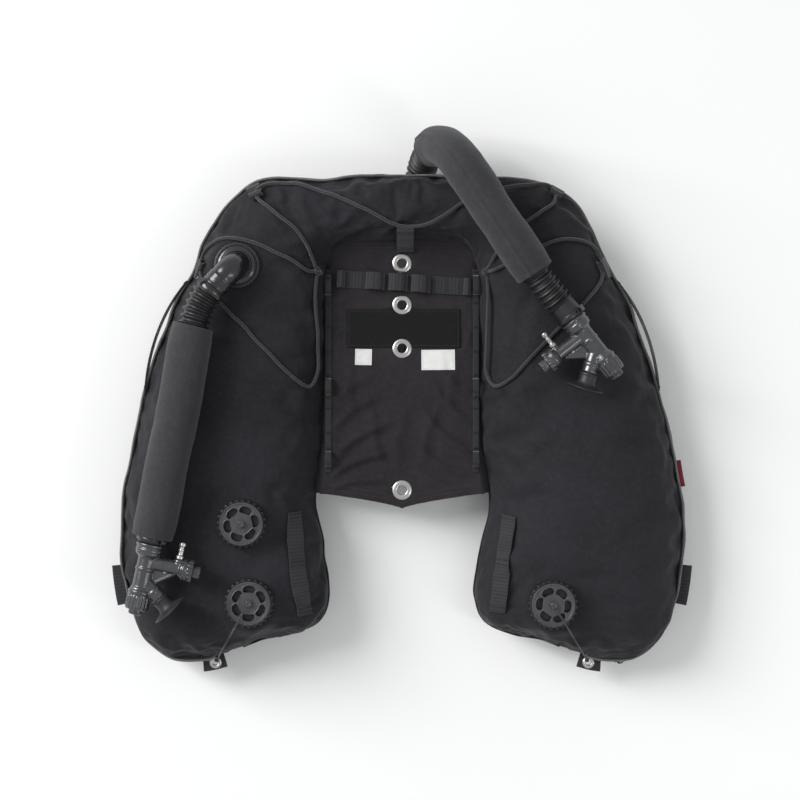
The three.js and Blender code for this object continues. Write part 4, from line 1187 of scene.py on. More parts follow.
def top_loop():
    """The webbing loop at the top of the panel, through which the bungee passes."""
    path = ((216, 65.6), (222, 67.6), (228, 73), (233, 82), (238, 92), (241, 99), (240, 103),
            (236, 104), (232, 101), (228, 92), (223, 82), (218, 72), (213, 67.6))
    line = smooth_line(mm(*((4, y, z) for y, z in path)), 0.8 * MM)
    side = np.array((1.0, 0, 0))
    up = np.cross(unit(np.gradient(line, axis=0)), side)
    ribbon(line, side, up, 21, 1.4).build("panel_top_loop", GRIP, "webbing", "wing")


def label(name, x0, x1, y0, y1, turn):
    """A blank sewn label with a stitched border."""
    across, tall, middle_x, middle_y = x1 - x0, y1 - y0, (x0 + x1) / 2, (y0 + y1) / 2

    def turned(dx, dy):
        return (middle_x + dx * math.cos(turn) - dy * math.sin(turn),
                middle_y + dx * math.sin(turn) + dy * math.cos(turn))

    xs, ys = np.meshgrid(np.linspace(0, 1, 29), np.linspace(0, 1, 21))
    x, y = turned((xs - 0.5) * across, (ys - 0.5) * tall)
    edge = np.minimum.reduce([xs * across, (1 - xs) * across, ys * tall, (1 - ys) * tall])
    inset = 1.6 * MM
    z = panel_surface(x, y) + 0.85 * MM + 0.25 * MM * patchy(x, y, 44, 0.01, 2)
    z = z - 0.25 * MM * hump(edge, inset, 0.7 * MM)
    pierced(np.dstack([x, y, z]), [], name, LABEL, (), 0.5)
    corners = ((-1, -1), (1, -1), (1, 1), (-1, 1), (-1, -1))
    line = np.array([turned(cx * (across / 2 - inset), cy * (tall / 2 - inset)) for cx, cy in corners])
    line = respaced(line, np.linspace(0, lengths(line)[-1], 160))
    stitches(f"{name}_stitching", on_panel(*line.T, 1.0 * MM), (0, 0, 1), "wing",
             pitch=2.0, size=0.4, slot="loop_pile", paint=LABEL)


top_loop()
label("blank_label_small", -0.0578, -0.0373, 0.0737, 0.0934, math.radians(-1))
label("blank_label_large", 0.0239, 0.0651, 0.0677, 0.0925, math.radians(0.6))

# ---- hoses: the free lines come straight after the cover they leave ----

LEFT_HOSE = [
    (-225.5, 165.9, 138), (-232.3, 158.6, 138), (-243, 140, 138.5), (-251, 114, 139), (-257.3, 79.6, 139),
    (-263.5, 42, 139), (-270.7, 4.9, 138.5), (-277.5, -25, 138), (-284.2, -58, 137), (-290.5, -94, 135),
    (-298.7, -129, 132), (-301.3, -140.7, 132),
]
RIGHT_HOSE = [
    (20, 290.5, 21), (21.4, 302.5, 21), (25, 319, 29), (31, 333, 48), (40, 341, 72), (50, 339, 100),
    (61, 328, 124), (73, 311, 141), (88, 288, 147), (105.4, 261, 148), (122, 237, 148), (138.4, 213, 148),
    (151, 194, 147), (163, 176, 145), (176, 160, 141), (187, 147.5, 138), (196.7, 136.9, 138),
    (204.1, 127.4, 138),
]
SLEEVE_SPANS = {"left": (2 / 12, 0.98), "right": (4 / 22, 18 / 22)}
RIB_PITCH = 7.8
CUFFS = 9 * MM, 21 * MM


def hose_piece(tag, route):
    """A corrugated hose with smooth cuffs at its two ends."""
    line = smooth_line(mm(*route), 0.75 * MM)
    s = lengths(line)
    total = s[-1]
    first, last = CUFFS
    rib = (0.5 - 0.5 * np.cos(2 * math.pi * (s - first) / (RIB_PITCH * MM))) ** 1.4
    near = 1 - rise(s, first - 1 * MM, first + 2 * MM)
    far = rise(s, total - last - 2 * MM, total - last + 1 * MM)
    radius = (14.9 + 4.0 * rib) * (1 - np.maximum(near, far)) + 17.2 * near + 16.2 * far
    radius = radius - 0.9 * (hump(s, 0, 1.2 * MM) + hump(total - s, 0, 1.2 * MM))
    hose = Form().tube(line, radius * MM, sides=48).build(
        f"{tag}_corrugated_hose", HOSE, "hose_rubber", f"{tag}_hose_set", f"{tag}_hose", sharp=60)
    return hose, line, total


def sleeve_piece(tag, line, span, seed):
    """The fabric cover of a hose: long soft folds, a felled seam and hemmed ends."""
    whole = lengths(line)[-1]
    s = np.linspace(span[0] * whole, span[1] * whole, 190)
    middle = respaced(line, s)
    run = s - s[0]
    turn = turns(72)
    ends = np.minimum(run, run[-1] - run)
    grid_s, grid_a = np.meshgrid(run, turn, indexing="ij")
    loose = rise(ends, 0.004, 0.03)[:, None]

    def folds(k, scale, off):
        around = np.cos(grid_a) * 0.03 + off, np.sin(grid_a) * 0.03 + off + 3
        first, second = (patchy(grid_s, a, seed + k + d, scale, 2) for a, d in zip(around, (0, 7)))
        return 0.5 * (first + second)

    radius = (24.8 + 0.9 * rise(ends, 0, 0.02))[:, None] * np.ones((1, 72))
    radius = radius + loose * 2.2 * folds(1, 0.055, 0.0) + loose * 0.8 * folds(2, 0.018, 1.0)
    forward, side, over = carried_frames(middle)
    curving = np.gradient(forward, axis=0)
    bend = np.linalg.norm(curving, axis=1) / np.gradient(s)
    crease = rise(bend, 4, 12)[:, None] * np.sin(grid_s * 2 * math.pi / 0.021 + 1.7 * np.sin(grid_a)) * 0.9
    inward = unit(curving + 1e-9)
    facing = np.outer((inward * side).sum(1), np.cos(turn)) + np.outer((inward * over).sum(1), np.sin(turn))
    radius = radius + crease * np.clip(facing, 0, 1) * loose
    # the seam stands up along one side
    seam_angle = {"left": math.radians(200), "right": math.radians(25)}[tag]
    gap = np.angle(np.exp(1j * (grid_a - seam_angle)))
    radius = radius + 1.5 * hump(gap, 0, 0.055) - 0.6 * hump(np.abs(gap), 0.17, 0.06)
    # the hems' stitch grooves, and the rounded ends
    radius = radius - (0.55 * hump(ends, 0.0065, 0.0012) + 1.1 * hump(ends, 0, 0.0011))[:, None]
    radius = np.clip(radius, 22.0, 27.9)
    ring = side[:, None] * np.cos(turn)[None, :, None] + over[:, None] * np.sin(turn)[None, :, None] * 0.97
    outer = middle[:, None] + ring * (radius * MM)[..., None]
    lip = np.array([1.0, 2.5, 5.0, 8.0]) * MM
    shrink = np.array([0.7, 1.2, 1.4, 1.5]) * MM
    first = [outer[0] + (unit(middle[1] - middle[0]) * d)[None] - ring[0] * k for d,
        k in zip(lip[::-1], shrink[::-1])]
    last = [outer[-1] - (unit(middle[-1] - middle[-2]) * d)[None] - ring[-1] * k for d,
        k in zip(lip, shrink)]
    body = f"{tag}_hose_set"
    made = Form().grid(np.stack(first + list(outer) + last), round_v=True).build(
        f"{tag}_hose_sleeve", SLEEVE, "sleeve_fabric", body, f"{tag}_sleeve", sharp=80)
    made.modifiers.new("finer", "SUBSURF").levels = 1
    evaluated(made)
    shaded(made)
    finished(made, SLEEVE, body)
    stitch_angle = seam_angle + 0.14
    c, s = math.cos(stitch_angle), math.sin(stitch_angle)
    there = radius[:, round(stitch_angle / (2 * math.pi) * 72) % 72, None] * MM
    rail = middle + (side * c + over * s * 0.97) * there
    radial = side * c + over * s
    row = stitches(
        f"{tag}_sleeve_stitching", rail[4:-4], radial[4:-4], body, pitch=4.2, slot="sleeve_fabric")
    return [made, row]


def hose_tie(name, at, way, body, r, turn):
    """A ratchet tie of inner radius r with its buckle and cut tail."""
    up = np.array((0, 0, 1.0))
    matrix = Matrix.Translation(at) @ Vector(way).to_track_quat("Z", "Y").to_matrix().to_4x4()
    w = 2.3
    band = [(r, -w), (r + 1.3, -w), (r + 1.5, -w + 0.5), (r + 1.5, w - 0.5), (r + 1.3, w), (r, w), (r, -w)]
    form = Form().lathe(mm(*band), 72, matrix)
    out = unit(up * math.cos(turn) + unit(np.cross(up, way)) * math.sin(turn))
    across = unit(np.cross(way, out))
    head = at + out * (r + 2.2) * MM

    def spot(d, a, b):
        return head + (across * d + way * a + out * b) * MM

    corners = ((-1, -0.82), (-0.82, -1), (0.82, -1), (1, -0.82), (1, 0.82), (0.82, 1), (-0.82, 1),
        (-1, 0.82))
    buckle = [[spot(d, a * 3.6 * k, b * 2.5 * k) for a, b in corners]
              for d, k in ((-3.4, 0.8), (-3.1, 1.0), (0, 1.0), (3.1, 1.0), (3.4, 0.8))]
    form.grid(buckle, round_v=True, ends="ab")
    tail = [[spot(d, a * 1.9, 0.02 * (d - 3.4) ** 2 - 0.4 + b * 0.42) for a,
        b in ((-1, -1), (1, -1), (1, 1), (-1, 1))]
            for d in np.linspace(3.4, 10, 8)]
    form.grid(tail, round_v=True, ends="ab")
    return form.build(name, GLOSS, "gloss_plastic", body, sharp=45)


def elbow_line(x, y, start_z, rise_by, bend, towards, side):
    """Up out of the flange, round the bend and level to the hose."""
    way = np.array((towards[0] - x, towards[1] - y))
    reach = np.linalg.norm(way) - 0.8 * MM
    way = way / np.linalg.norm(way)
    steps = [(0, 0), (0, rise_by / 2), (0, rise_by)]
    for turn in np.radians((22.5, 45, 67.5, 90)):
        steps.append((bend * (1 - math.cos(turn)), rise_by + bend * math.sin(turn)))
    steps += [((reach + bend) / 2, rise_by + bend), (reach, rise_by + bend)]
    points = [(x + way[0] * d, y + way[1] * d, start_z + side * up) for d, up in steps]
    return smooth_line(np.array(points), 0.8 * MM), way


def elbow_piece(tag, xy, seat, side, bend, route):
    """A glossy moulded elbow: a ball-like bend, a parting line, a shoulder and the cuff for the hose."""
    start = seat - side * 6 * MM
    first = np.array(route[0]) * MM
    rise_by = abs(first[2] - start) - bend * MM
    line, way = elbow_line(*xy, start, rise_by, bend * MM, first, side)
    s = lengths(line)
    total = s[-1]
    turned = np.clip((s - rise_by) / (bend * MM * math.pi / 2), 0, 1)
    radius = 15.6 + 0.9 * np.sin(turned * math.pi) ** 0.8
    radius = radius + 0.9 * rise(s, total - 15 * MM, total - 13.5 * MM)
    radius = radius - 0.5 * rise(s, total - 6 * MM, total - 5 * MM)
    radius = radius + 0.6 * (rise(s, total - 2.2 * MM, total - 1.6 * MM))
    turn = turns(64)
    parting = 0.25 * hump(np.angle(np.exp(1j * (turn - math.pi / 2))), 0, 0.035)
    radius = np.minimum(radius, 16.9)[:, None] + parting[None]
    Form().tube(line, radius * MM, sides=64, up=(way[0], way[1], 0)).build(
        f"{tag}_elbow_bend", GLOSS, "gloss_plastic", f"{tag}_hose_set", f"{tag}_elbow", sharp=50)


def toothed_ring(form, profile, count, depth, band, sides, matrix, soft):
    """A body of revolution with teeth in its rim. band is from, to and the least radius, in mm."""
    profile = softened(profile, soft * MM)
    turn = turns(sides)
    tooth = rise(-np.cos(turn * count), -0.25, 0.25)
    low, high, least = (v * MM for v in band)
    points = np.empty((len(profile), sides, 3))
    for i, (r, z) in enumerate(profile):
        reach = r - (depth * MM * tooth if low <= z <= high and r >= least else 0)
        points[i] = np.column_stack([reach * np.cos(turn), reach * np.sin(turn), np.full(sides, z)])
    points[..., :2] = np.where(np.abs(points[..., :2]) < 1e-9, 1e-9, points[..., :2])
    return form.grid(points, round_v=True, matrix=matrix)


def elbow_flange(tag, matrix):
    """The serrated flange with a ring of small ribs on its face."""
    profile = mm(
        (17.3, -11.5), (19.8, -11.5), (19.8, 0), (27.2, 0), (28, 0.6), (28, 3.6), (26.9, 4.6), (24.6, 5.0),
        (23.6, 4.4), (22.8, 5.2), (21, 6.0), (18.2, 6.0), (17.3, 5.4), (17.3, -11.5))
    form = toothed_ring(Form(), profile, 36, 1.3, (0, 4.0, 27), 288, matrix, 0.3)
    for k in range(24):
        angle = 2 * math.pi * k / 24
        ring = []
        for d, size in ((23.9, 0.5), (24.3, 1.0), (26.4, 1.0), (26.8, 0.5)):
            c = np.array((math.cos(angle) * d, math.sin(angle) * d, 4.7))
            w = np.array((-math.sin(angle), math.cos(angle), 0))
            ring.append([(c + w * a * 0.9 * size + (0, 0, b * 0.55 * size)) * MM
                         for a, b in ((-1, -1), (1, -1), (0.7, 1), (-0.7, 1))])
        form.grid(ring, round_v=True, ends="ab", matrix=matrix)
    form.build(f"{tag}_elbow_flange_ring", VALVE, "valve_plastic", "wing", f"{tag}_elbow_flange", sharp=35)


def elbow_skirt(tag, matrix):
    """The flared foot of the elbow, which turns over the flange."""
    foot = mm((16, 6.5), (22.4, 6.5), (22.9, 7.2), (22.4, 8.0), (20.4, 9.0), (18.4, 10.6), (17.6, 13),
              (16, 13), (16, 6.5))
    Form().lathe(foot, 96, matrix, soft=0.3 * MM).build(
        f"{tag}_elbow_skirt", GLOSS, "gloss_plastic", f"{tag}_hose_set", sharp=50)


# ---- power inflators ----

def fused(name, form, paint, body, nodes):
    """Runs overlapping closed shapes together into one moulding with soft inner corners."""
    made = form.raw(name)
    clean(made)
    remesh = made.modifiers.new("run_together", "REMESH")
    remesh.mode, remesh.voxel_size, remesh.adaptivity = "VOXEL", 0.5 * MM, 0.0
    smooth = made.modifiers.new("fillets", "SMOOTH")
    smooth.factor, smooth.iterations = 0.5, 9
    evaluated(made)
    shaded(made)
    return finished(made, paint, body, nodes)


INFLATORS = {
    "left": ((-301.5, -141.5, 132), -102.5, False),
    "right": ((204.6, 126.8, 138), -51.7, True),
}
ALONG_X = Matrix.Rotation(math.pi / 2, 4, "Y")
ALONG_Y = Matrix.Rotation(-math.pi / 2, 4, "X")


def shift(x, y=0):
    return Matrix.Translation((x * MM, y * MM, 0))


def inflator(tag):
    """The inflator at the end of a hose: X along the hose, Y along the power branch."""
    at, heading, flipped = INFLATORS[tag]
    place = placed(*(v * MM for v in at), math.radians(heading), flipped)
    barrel, branch, nipple_axis = place @ ALONG_X, place @ shift(22) @ ALONG_Y, place @ shift(0,
        38) @ ALONG_X
    mouth = place @ shift(45) @ Matrix.Rotation(math.radians(55), 4, "Z") @ ALONG_X
    body_name = f"{tag}_hose_set"
    form = Form()
    # the hose end, with its cuff and stops
    form.lathe(mm((0, 0), (16.3, 0), (16.8, 0.6), (16.8, 3.4), (15.6, 4), (15.6, 6), (16.4, 6.6),
        (16.4, 9.4), (15.6, 10), (15.6, 13),
                 (14.6, 14), (12.4, 16), (11.2, 18), (0, 18)), 64, barrel)
    # the barrel with two bands
    form.lathe(mm((0, 9), (11, 9), (11, 29), (11.9, 29.6), (11.9, 32.4), (11, 33), (11, 53), (12.2, 54),
        (13.2, 58), (0, 58)), 64, barrel)
    # the end housing, ribbed, with a pocket for the oral button
    toothed_ring(form, mm((0, 57), (13.6, 57), (14.4, 58), (14.4, 61), (13.6, 62), (13.6, 64), (14.5, 65),
        (14.5, 77), (13.6, 80.6), (12.6, 81),
                         (9.5, 81), (9.5, 75), (0, 75)), 18, 0.9, (64.5, 79, 13.8), 288, barrel, 0.25)
    # the power branch and its collar, with a pocket for the power button
    form.lathe(mm((0, 3), (8.5, 3), (8.5, 40), (9.2, 40.6), (11.2, 42.4), (11.2, 44.5), (0, 44.5)), 56,
        branch)
    toothed_ring(form, mm((0, 44), (12.6, 44), (13.5, 45), (13.5, 48.6), (12.5, 49.2), (12.5, 50.4),
        (13.4, 51), (13.4, 56), (12.6, 57),
                         (8, 57), (8, 50), (0, 50)), 14, 1.0, (50.6, 56.4, 12.8), 224, branch, 0.25)
    # the seat of the quick-release nipple
    form.lathe(mm((0, 11.2), (5.2, 11.2), (6.2, 12), (6.2, 14.5), (7.4, 15.2), (7.4, 18.5), (6.4, 19.2),
        (6.4, 22), (0, 22)), 48, nipple_axis)
    # the neck of the mouthpiece, open inside
    form.lathe(mm((0, 2), (9.4, 2), (9.4, 17), (10.4, 18), (10.4, 21), (9.6, 21.6), (9.6, 28.6),
        (9.2, 29.9), (7.1, 29.9), (7.0, 12), (0, 12)), 56, mouth)
    # the web between the branches, with a raised rim
    web = [(23, 0), (55, 0), (46, 13), (33, 31), (26.5, 40)]
    form.grid([mm(*((x, y, z) for x, y in web)) for z in (-2.5, 2.5)], round_v=True, ends="ab",
        matrix=place)
    rim = [(52, 6, 0), (46, 13, 0), (33, 31, 0), (26.5, 40, 0)]
    for a, b in zip(rim, rim[1:]):
        tube = Form().tube(np.linspace(a, b, 12) * MM, 2.6 * MM, sides=16, flat=1.25)
        form.faces += [[k + form.count for k in f] for f in tube.faces]
        form.points.append(moved(tube.points[0], place))
        form.count += tube.count
    pieces = [fused(f"{tag}_inflator_housing", form, BUTTON, body_name,
        f"{tag}_inflator_body")]
    # the soft mouthpiece, a little oval and bowed
    lip = mm((7, 30.4), (10.2, 30.4), (10.8, 31.2), (10.8, 33), (10.1, 34), (10.1, 40), (10.6, 43),
        (12.2, 45.4), (16.2, 47.6),
            (20.8, 49.6), (22, 50.4), (22, 51.2), (21.2, 51.6), (19.2, 51.2), (15.2, 49.4), (11.2, 47.4),
            (8.4, 45.2), (7.2, 41), (7, 30.4))
    turn = turns(72)
    profile = softened(lip, 0.5 * MM)
    out, up = profile[:, :1], profile[:, 1:]
    oval = 1 + 0.045 * np.cos(2 * turn) * rise(up, 0.036, 0.05)
    bowed = up - 2.2 * MM * np.sin(turn) ** 2 * rise(up, 0.040, 0.05)
    grid = np.stack([out * np.cos(turn) * oval, out * np.sin(turn) * (2 - oval), bowed], axis=-1)
    pieces.append(Form().grid(grid, round_v=True, matrix=mouth).build(
        f"{tag}_mouthpiece_flare", SOFT, "soft_rubber", body_name, f"{tag}_mouthpiece", sharp=60))
    stem = mm((0, 10.7), (4.7, 10.7), (4.9, 10.2), (4.9, 7.2), (4.4, 6.6), (3.4, 6.2), (3.1, 5.4),
        (3.1, 1.0), (3.5, 0.5), (3.5, -1.4),
             (2.9, -2.0), (2.9, -4.2), (3.9, -4.9), (4.1, -5.6), (4.1, -8.4), (3.6, -9.3), (1.9, -9.4),
             (1.6, -8.8), (1.6, -4), (0, -4))
    pieces.append(Form().lathe(stem, 48, nipple_axis, soft=0.18 * MM).build(
        f"{tag}_nipple_turned", NICKEL, "nickel", body_name, f"{tag}_nipple", sharp=50))
    rivet = Form()
    for face in (1, -1):
        side = mm((0, 2.2), (2.3, 2.2), (2.3, 2.9), (1.8, 3.5), (0.9, 3.8), (0, 3.9)) * (1, face)
        rivet.lathe(side, 32, place @ shift(29.5, 24))
    pieces.append(rivet.build(f"{tag}_web_rivets", NICKEL, "nickel", body_name, sharp=50))
    power = mm((0, 54.8), (7.1, 54.8), (7.1, 64.4), (6.6, 65.5), (5.4, 66), (4.6, 65.5), (0, 65.3))
    oral = mm((0, 79.8), (8.6, 79.8), (8.6, 84.8), (8.0, 86.4), (6.8, 87), (5.8, 86.5), (0, 86.2))
    for button, profile, count, depth, band, matrix in (
            ("power_button", power, 20, 0.5, (57.5, 65, 6.8), branch),
            ("oral_button", oral, 24, 0.45, (81, 86, 8.3), barrel)):
        node = f"{tag}_{button}"
        pieces.append(toothed_ring(Form(), profile, count, depth, band, 240, matrix, 0.25).build(
            f"{node}_cap", BUTTON, "button_plastic", node, node, sharp=40))
    return pieces


def hose_set(tag, route, xy, seat, side, bend, seed):
    hose, line, total = hose_piece(tag, route)
    body = f"{tag}_hose_set"
    sleeve = sleeve_piece(tag, line, SLEEVE_SPANS[tag], seed)
    elbow_piece(tag, xy, seat, side, bend, route)
    elbow_flange(tag, placed(*xy, seat, flip=side < 0))
    elbow_skirt(tag, placed(*xy, seat, flip=side < 0))
    forward = unit(np.gradient(line, axis=0))
    k = 7
    attached = [
        *sleeve,
        hose_tie(f"{tag}_elbow_tie", line[k], forward[k], body, 17.7, {"left": -0.75, "right": 0.5}[tag]),
        hose_tie(f"{tag}_inflator_tie", line[-k], forward[-k], body, 16.4, 0.9),
        *inflator(tag),
    ]


hose_set("left", LEFT_HOSE, LEFT_ELBOW, left_seat, 1, 20, 61)
hose_set("right", RIGHT_HOSE, RIGHT_ELBOW, right_seat, -1, 18, 83)

# ---- dump valves ----

VALVE_TOP = 15.0


def valve(name, x, y, turned):
    """A dump valve: seat ring, slotted cap and the poppet with its pull knob."""
    place = placed(x, y, seats[name], turn=turned)
    base = mm((17, -12), (20, -12), (20, -9.4), (19.4, -9), (19.4, -7.4), (20, -7), (20, 0), (28, 0),
        (28, 2.4), (27.4, 3), (21.6, 3),
             (21.2, 2.2), (20.4, 2.2), (20, 3), (9, 3), (9, 1), (17, 1), (17, -12))
    toothed_ring(Form(), base, 20, 0.7, (0.2, 2.6, 27.5), 160, place, 0.2).build(
        f"{name}_seat_ring", VALVE, "valve_plastic", "wing", f"{name}_base", sharp=40)
    top = np.concatenate([
        mm((3.1, 10.9), (3.1, 14.6), (3.5, 15.0), (5.6, 15.0), (6.0, 14.5), (7.2, 14.4)),
        np.column_stack([np.linspace(7.8, 23.4, 40), np.full(40, 14.4)]) * MM,
        mm((23.8, 14.5), (24.2, 15.0), (25.6, 15.0), (26.2, 14.5), (26.6, 12.0), (27.0, 11.3), (28.6, 11.2),
        (29.6, 10.7), (30, 9.9),
          (30, 7.5), (30, 4.6), (29.4, 3.7), (26, 3.5), (25, 3.9), (25, 5.8), (24.4, 6.4), (13.4, 6.4),
          (12.9, 6.9), (12.9, 10.9),
          (3.1, 10.9))])
    sides = 288
    turn = turns(sides)
    grid = np.empty((len(top), sides, 3))
    teeth = rise(-np.cos(turn * 24), -0.35, 0.25)
    slot_turn = np.abs(np.angle(np.exp(1j * 6 * turn))) / 6
    for i, (r, z) in enumerate(top):
        reach = np.full(sides, r)
        height = np.full(sides, z)
        if r > 28.2 * MM and z < 11.25 * MM:
            reach = r - 2.1 * MM * teeth
        # six rounded slots with a raised lip
        if 7.5 * MM < r < 23.6 * MM and z > 14 * MM:
            radial = (r - 17.4 * MM) / (4.0 * MM)
            tangential = r * slot_turn / (7.4 * MM)
            inside = np.abs(radial) ** 2.6 + np.abs(tangential) ** 2.6
            height = z - 6.4 * MM * (1 - rise(inside, 0.84, 1.02))
            height = height + 0.35 * MM * hump(inside, 1.35, 0.22)
        grid[i] = np.column_stack([reach * np.cos(turn), reach * np.sin(turn), height])
    cap = Form().grid(grid, round_v=True, matrix=place).build(
        f"{name}_slotted_cap", CAP, "valve_plastic", "wing", f"{name}_cap", sharp=38)
    # the rim is near-black and the floors of the slots are painted near-black as shade; the raised plate is
    # lighter
    cap.data.materials.append(RIM_AND_SLOT_SHADE)
    back = place.inverted()
    for face in cap.data.polygons:
        face.material_index = int((back @ face.center).z < 13.7 * MM)
    stem = mm((0, 3.4), (12, 3.4), (12, 4.9), (11.4, 5.4), (2.8, 5.4), (2.5, 5.7), (2.5, 16.2), (3.2, 16.5),
        (4.2, 17.1), (4.2, 18.7),
             (3.5, 19.4), (1.6, 19.5), (1.1, 18.6), (0, 18.4))
    toothed_ring(Form(), stem, 12, 0.35, (16.8, 19.0, 3.9), 120, place, 0.2).build(
        f"{name}_pull_knob", BUTTON, "button_plastic", f"{name}_poppet", f"{name}_poppet", sharp=40)


for valve_name, turned in (("upper_left_dump", 0.2), ("lower_left_dump", 0.5), ("lower_right_dump", -0.1)):
    valve(valve_name, *VALVES[valve_name], turned)

# ---- bungee ----

BUNGEE_PLAN = [
    (-108, 186), (-123, 193), (-152, 208), (-178, 221), (-203, 226), (-224, 222), (-238, 211),
    (-243, 198), (-244, 184), (-239, 172), (-214, 142), (-190, 118), (-156, 82), (-124, 50),
    (-114, 47), (-105, 63), (-105, 97), (-107, 154), (-108, 172),
]
BUNGEE_TOP_PLAN = [
    (-109, 201), (-126, 234), (-151, 257), (-170, 271), (-179, 280), (-169, 290), (-125, 290),
    (-76, 275), (-27, 253), (-2, 243), (20, 243), (46, 252), (71, 268), (98, 279), (124, 288),
    (156, 291), (175, 291), (187, 283), (184, 270), (148, 245), (124, 219), (109, 198),
]
BUNGEE_STANDOFF = 6.1
BUNGEE_RADIUS = 2.1 * MM


def tie_point(side):
    """Where the bungees are knotted, on the cover beside the panel's upper corner."""
    x, y = side * 103.5 * MM, 188 * MM
    (height,), _ = skin_under((x, y))
    return np.array((x, y, height + 2.4 * MM))


def bungee_line(plan, start, end):
    """A taut line over the cover, drawn straight between its bends."""
    knots = over_skin(mm(*plan), BUNGEE_STANDOFF * MM)
    line = laid_on_skin(smooth_line(knots, 1.6 * MM), 2.7 * MM, 4.5 * MM)
    for _ in range(24):
        line[1:-1] = (line[:-2] + 2 * line[1:-1] + line[2:]) / 4
    return smooth_line(np.vstack([start, line[::5][1:-1], end]), 1.5 * MM)


def knot(name, centre, size, cord_radius, paint, slot, tail, tilt=(0.6, 0.2, 0.3)):
    """An overhand knot drawn tight, with a short tail."""
    a = np.linspace(0.35, 2 * math.pi - 0.35, 90)
    path = np.column_stack([np.sin(a) + 2 * np.sin(2 * a), np.cos(a) - 2 * np.cos(2 * a),
        -1.25 * np.sin(3 * a)])
    path = path / 3 * size * MM
    first, last = unit(path[0] - path[1]), unit(path[-1] - path[-2])
    path = np.vstack([path[0] + first * tail * 0.5 * MM, path, path[-1] + last * tail * MM])
    x, y, z = (Matrix.Rotation(angle, 3, axis) for angle, axis in zip(tilt, "XYZ"))
    line = smooth_line(path @ np.array(x @ y @ z).T + centre, 0.8 * MM)
    Form().tube(line, cord_radius * MM, sides=14).build(name, paint, slot, "wing")


def bungee(tag, plan, first, last):
    line = bungee_line(plan, tie_point(first), tie_point(last))
    Form().tube(line, BUNGEE_RADIUS, sides=20).build(
        f"bungee_cord_{tag}", BRAID, "bungee", "wing", f"bungee_{tag}")
    return line


left_bungee = bungee("left", BUNGEE_PLAN, -1, -1)
right_bungee = bungee("right", [(-x, y) for x, y in BUNGEE_PLAN], 1, 1)
top_bungee = bungee("top", BUNGEE_TOP_PLAN, -1, 1)
for tag, side in (("left", -1), ("right", 1)):
    knot(f"bungee_knot_{tag}", tie_point(side) + mm(0, 0, 0.8), 4.6, 2.0, BRAID, "bungee", 9,
        (0.4 * side, 0.5, 0.8))


def nearest(points, xy):
    """Number of the point that is nearest in plan."""
    return int(np.argmin(np.hypot(points[:, 0] - xy[0], points[:, 1] - xy[1])))


def bungee_tab(where, line, near, width, band):
    """Webbing sewn into the edge seam, folded round the bungee. band is its width at the seam."""
    at = line[nearest(line, mm(*near))]
    t = np.linspace(0.02, 0.98, 1200)
    (base,), (away,) = outer_edge(t[nearest(rails(t), at)], 0.0, 0.0)
    _, (up,) = skin_under(at[:2])
    out = unit(away - up * away.dot(up))
    r = 3.6 * MM
    ring = [base + away * 2.2 * MM + mm(0, 0, -4), base + away * 2.6 * MM + mm(0, 0, 6)]
    start = at + out * r
    for share in (0.35, 0.7):
        mid = ring[1] * (1 - share) + start * share
        near_point, *_ = skin_tree.find_nearest(Vector(mid))
        gap = Vector(mid) - near_point
        if gap.length > 1e-5:
            mid = np.array(near_point) + np.array(gap.normalized()) * 1.6 * MM
        ring.append(mid)
    for angle in (0.1, 0.55, 1.0, 1.5, 2.0):
        ring.append(at + out * math.cos(angle * math.pi / 2) * r + up * math.sin(angle * math.pi / 2) * r)
    ring.append(at - up * r * 0.75 - out * r * 0.4)
    ring.append(at - up * r * 0.85 + out * r * 0.6)
    path = smooth_line(np.array(ring), 0.8 * MM)
    forward = unit(np.gradient(path, axis=0))
    side = unit(np.cross(out, up))
    face = np.cross(forward, side)
    s = lengths(path) / lengths(path)[-1]
    share = np.linspace(-1, 1, 13)
    wide = (band + (width - band) * rise(s, 0.3, 0.7) * 0.45) * MM / 2
    top = path[:, None] + side[None, None] * (share[None, :, None] * wide[:, None, None])
    off = face[:, None] * 0.7 * MM
    Form().grid(np.concatenate([top + off, (top - off)[:, ::-1]], axis=1), round_v=True, ends="ab").build(
        f"bungee_webbing_{where}", GRIP, "webbing", "wing", f"bungee_tab_{where}")


bungee_tab("upper_left", top_bungee, (-179, 280), 14, 18)
bungee_tab("upper_right", top_bungee, (187, 282), 14, 18)
bungee_tab("side_left", left_bungee, (-244, 190), 22, 30)
bungee_tab("side_right", right_bungee, (244, 190), 22, 30)

# ---- rim of the lobes: zip, piping, tabs and straps ----

outer_seam = skin[:, half]
inner_seam = skin[:, 0]
seam_ts = np.linspace(TIP, 1 - TIP, ROWS)


def seam_run(low, high, out, height, step, inner=False):
    """A line beside the finished seam, and the way away from the cover along it."""
    rail, other = (inner_seam, outer_seam) if inner else (outer_seam, inner_seam)
    away = rail - other
    away[:, 2] = 0
    way = np.gradient(rail, axis=0)
    way[:, 2] = 0
    square = np.column_stack([-way[:, 1], way[:, 0], np.zeros(len(way))])
    square = unit(square * np.sign((square * away).sum(1, keepdims=True)))
    chosen = (seam_ts >= low) & (seam_ts <= high)
    line = rail[chosen] + square[chosen] * out * MM + mm(0, 0, height)
    s = lengths(line)
    at = np.arange(0, s[-1], step * MM)
    even = [np.stack([np.interp(at, s, a[:, k]) for k in range(3)], axis=1) for a in (line, square[chosen])]
    return even[0], unit(even[1])


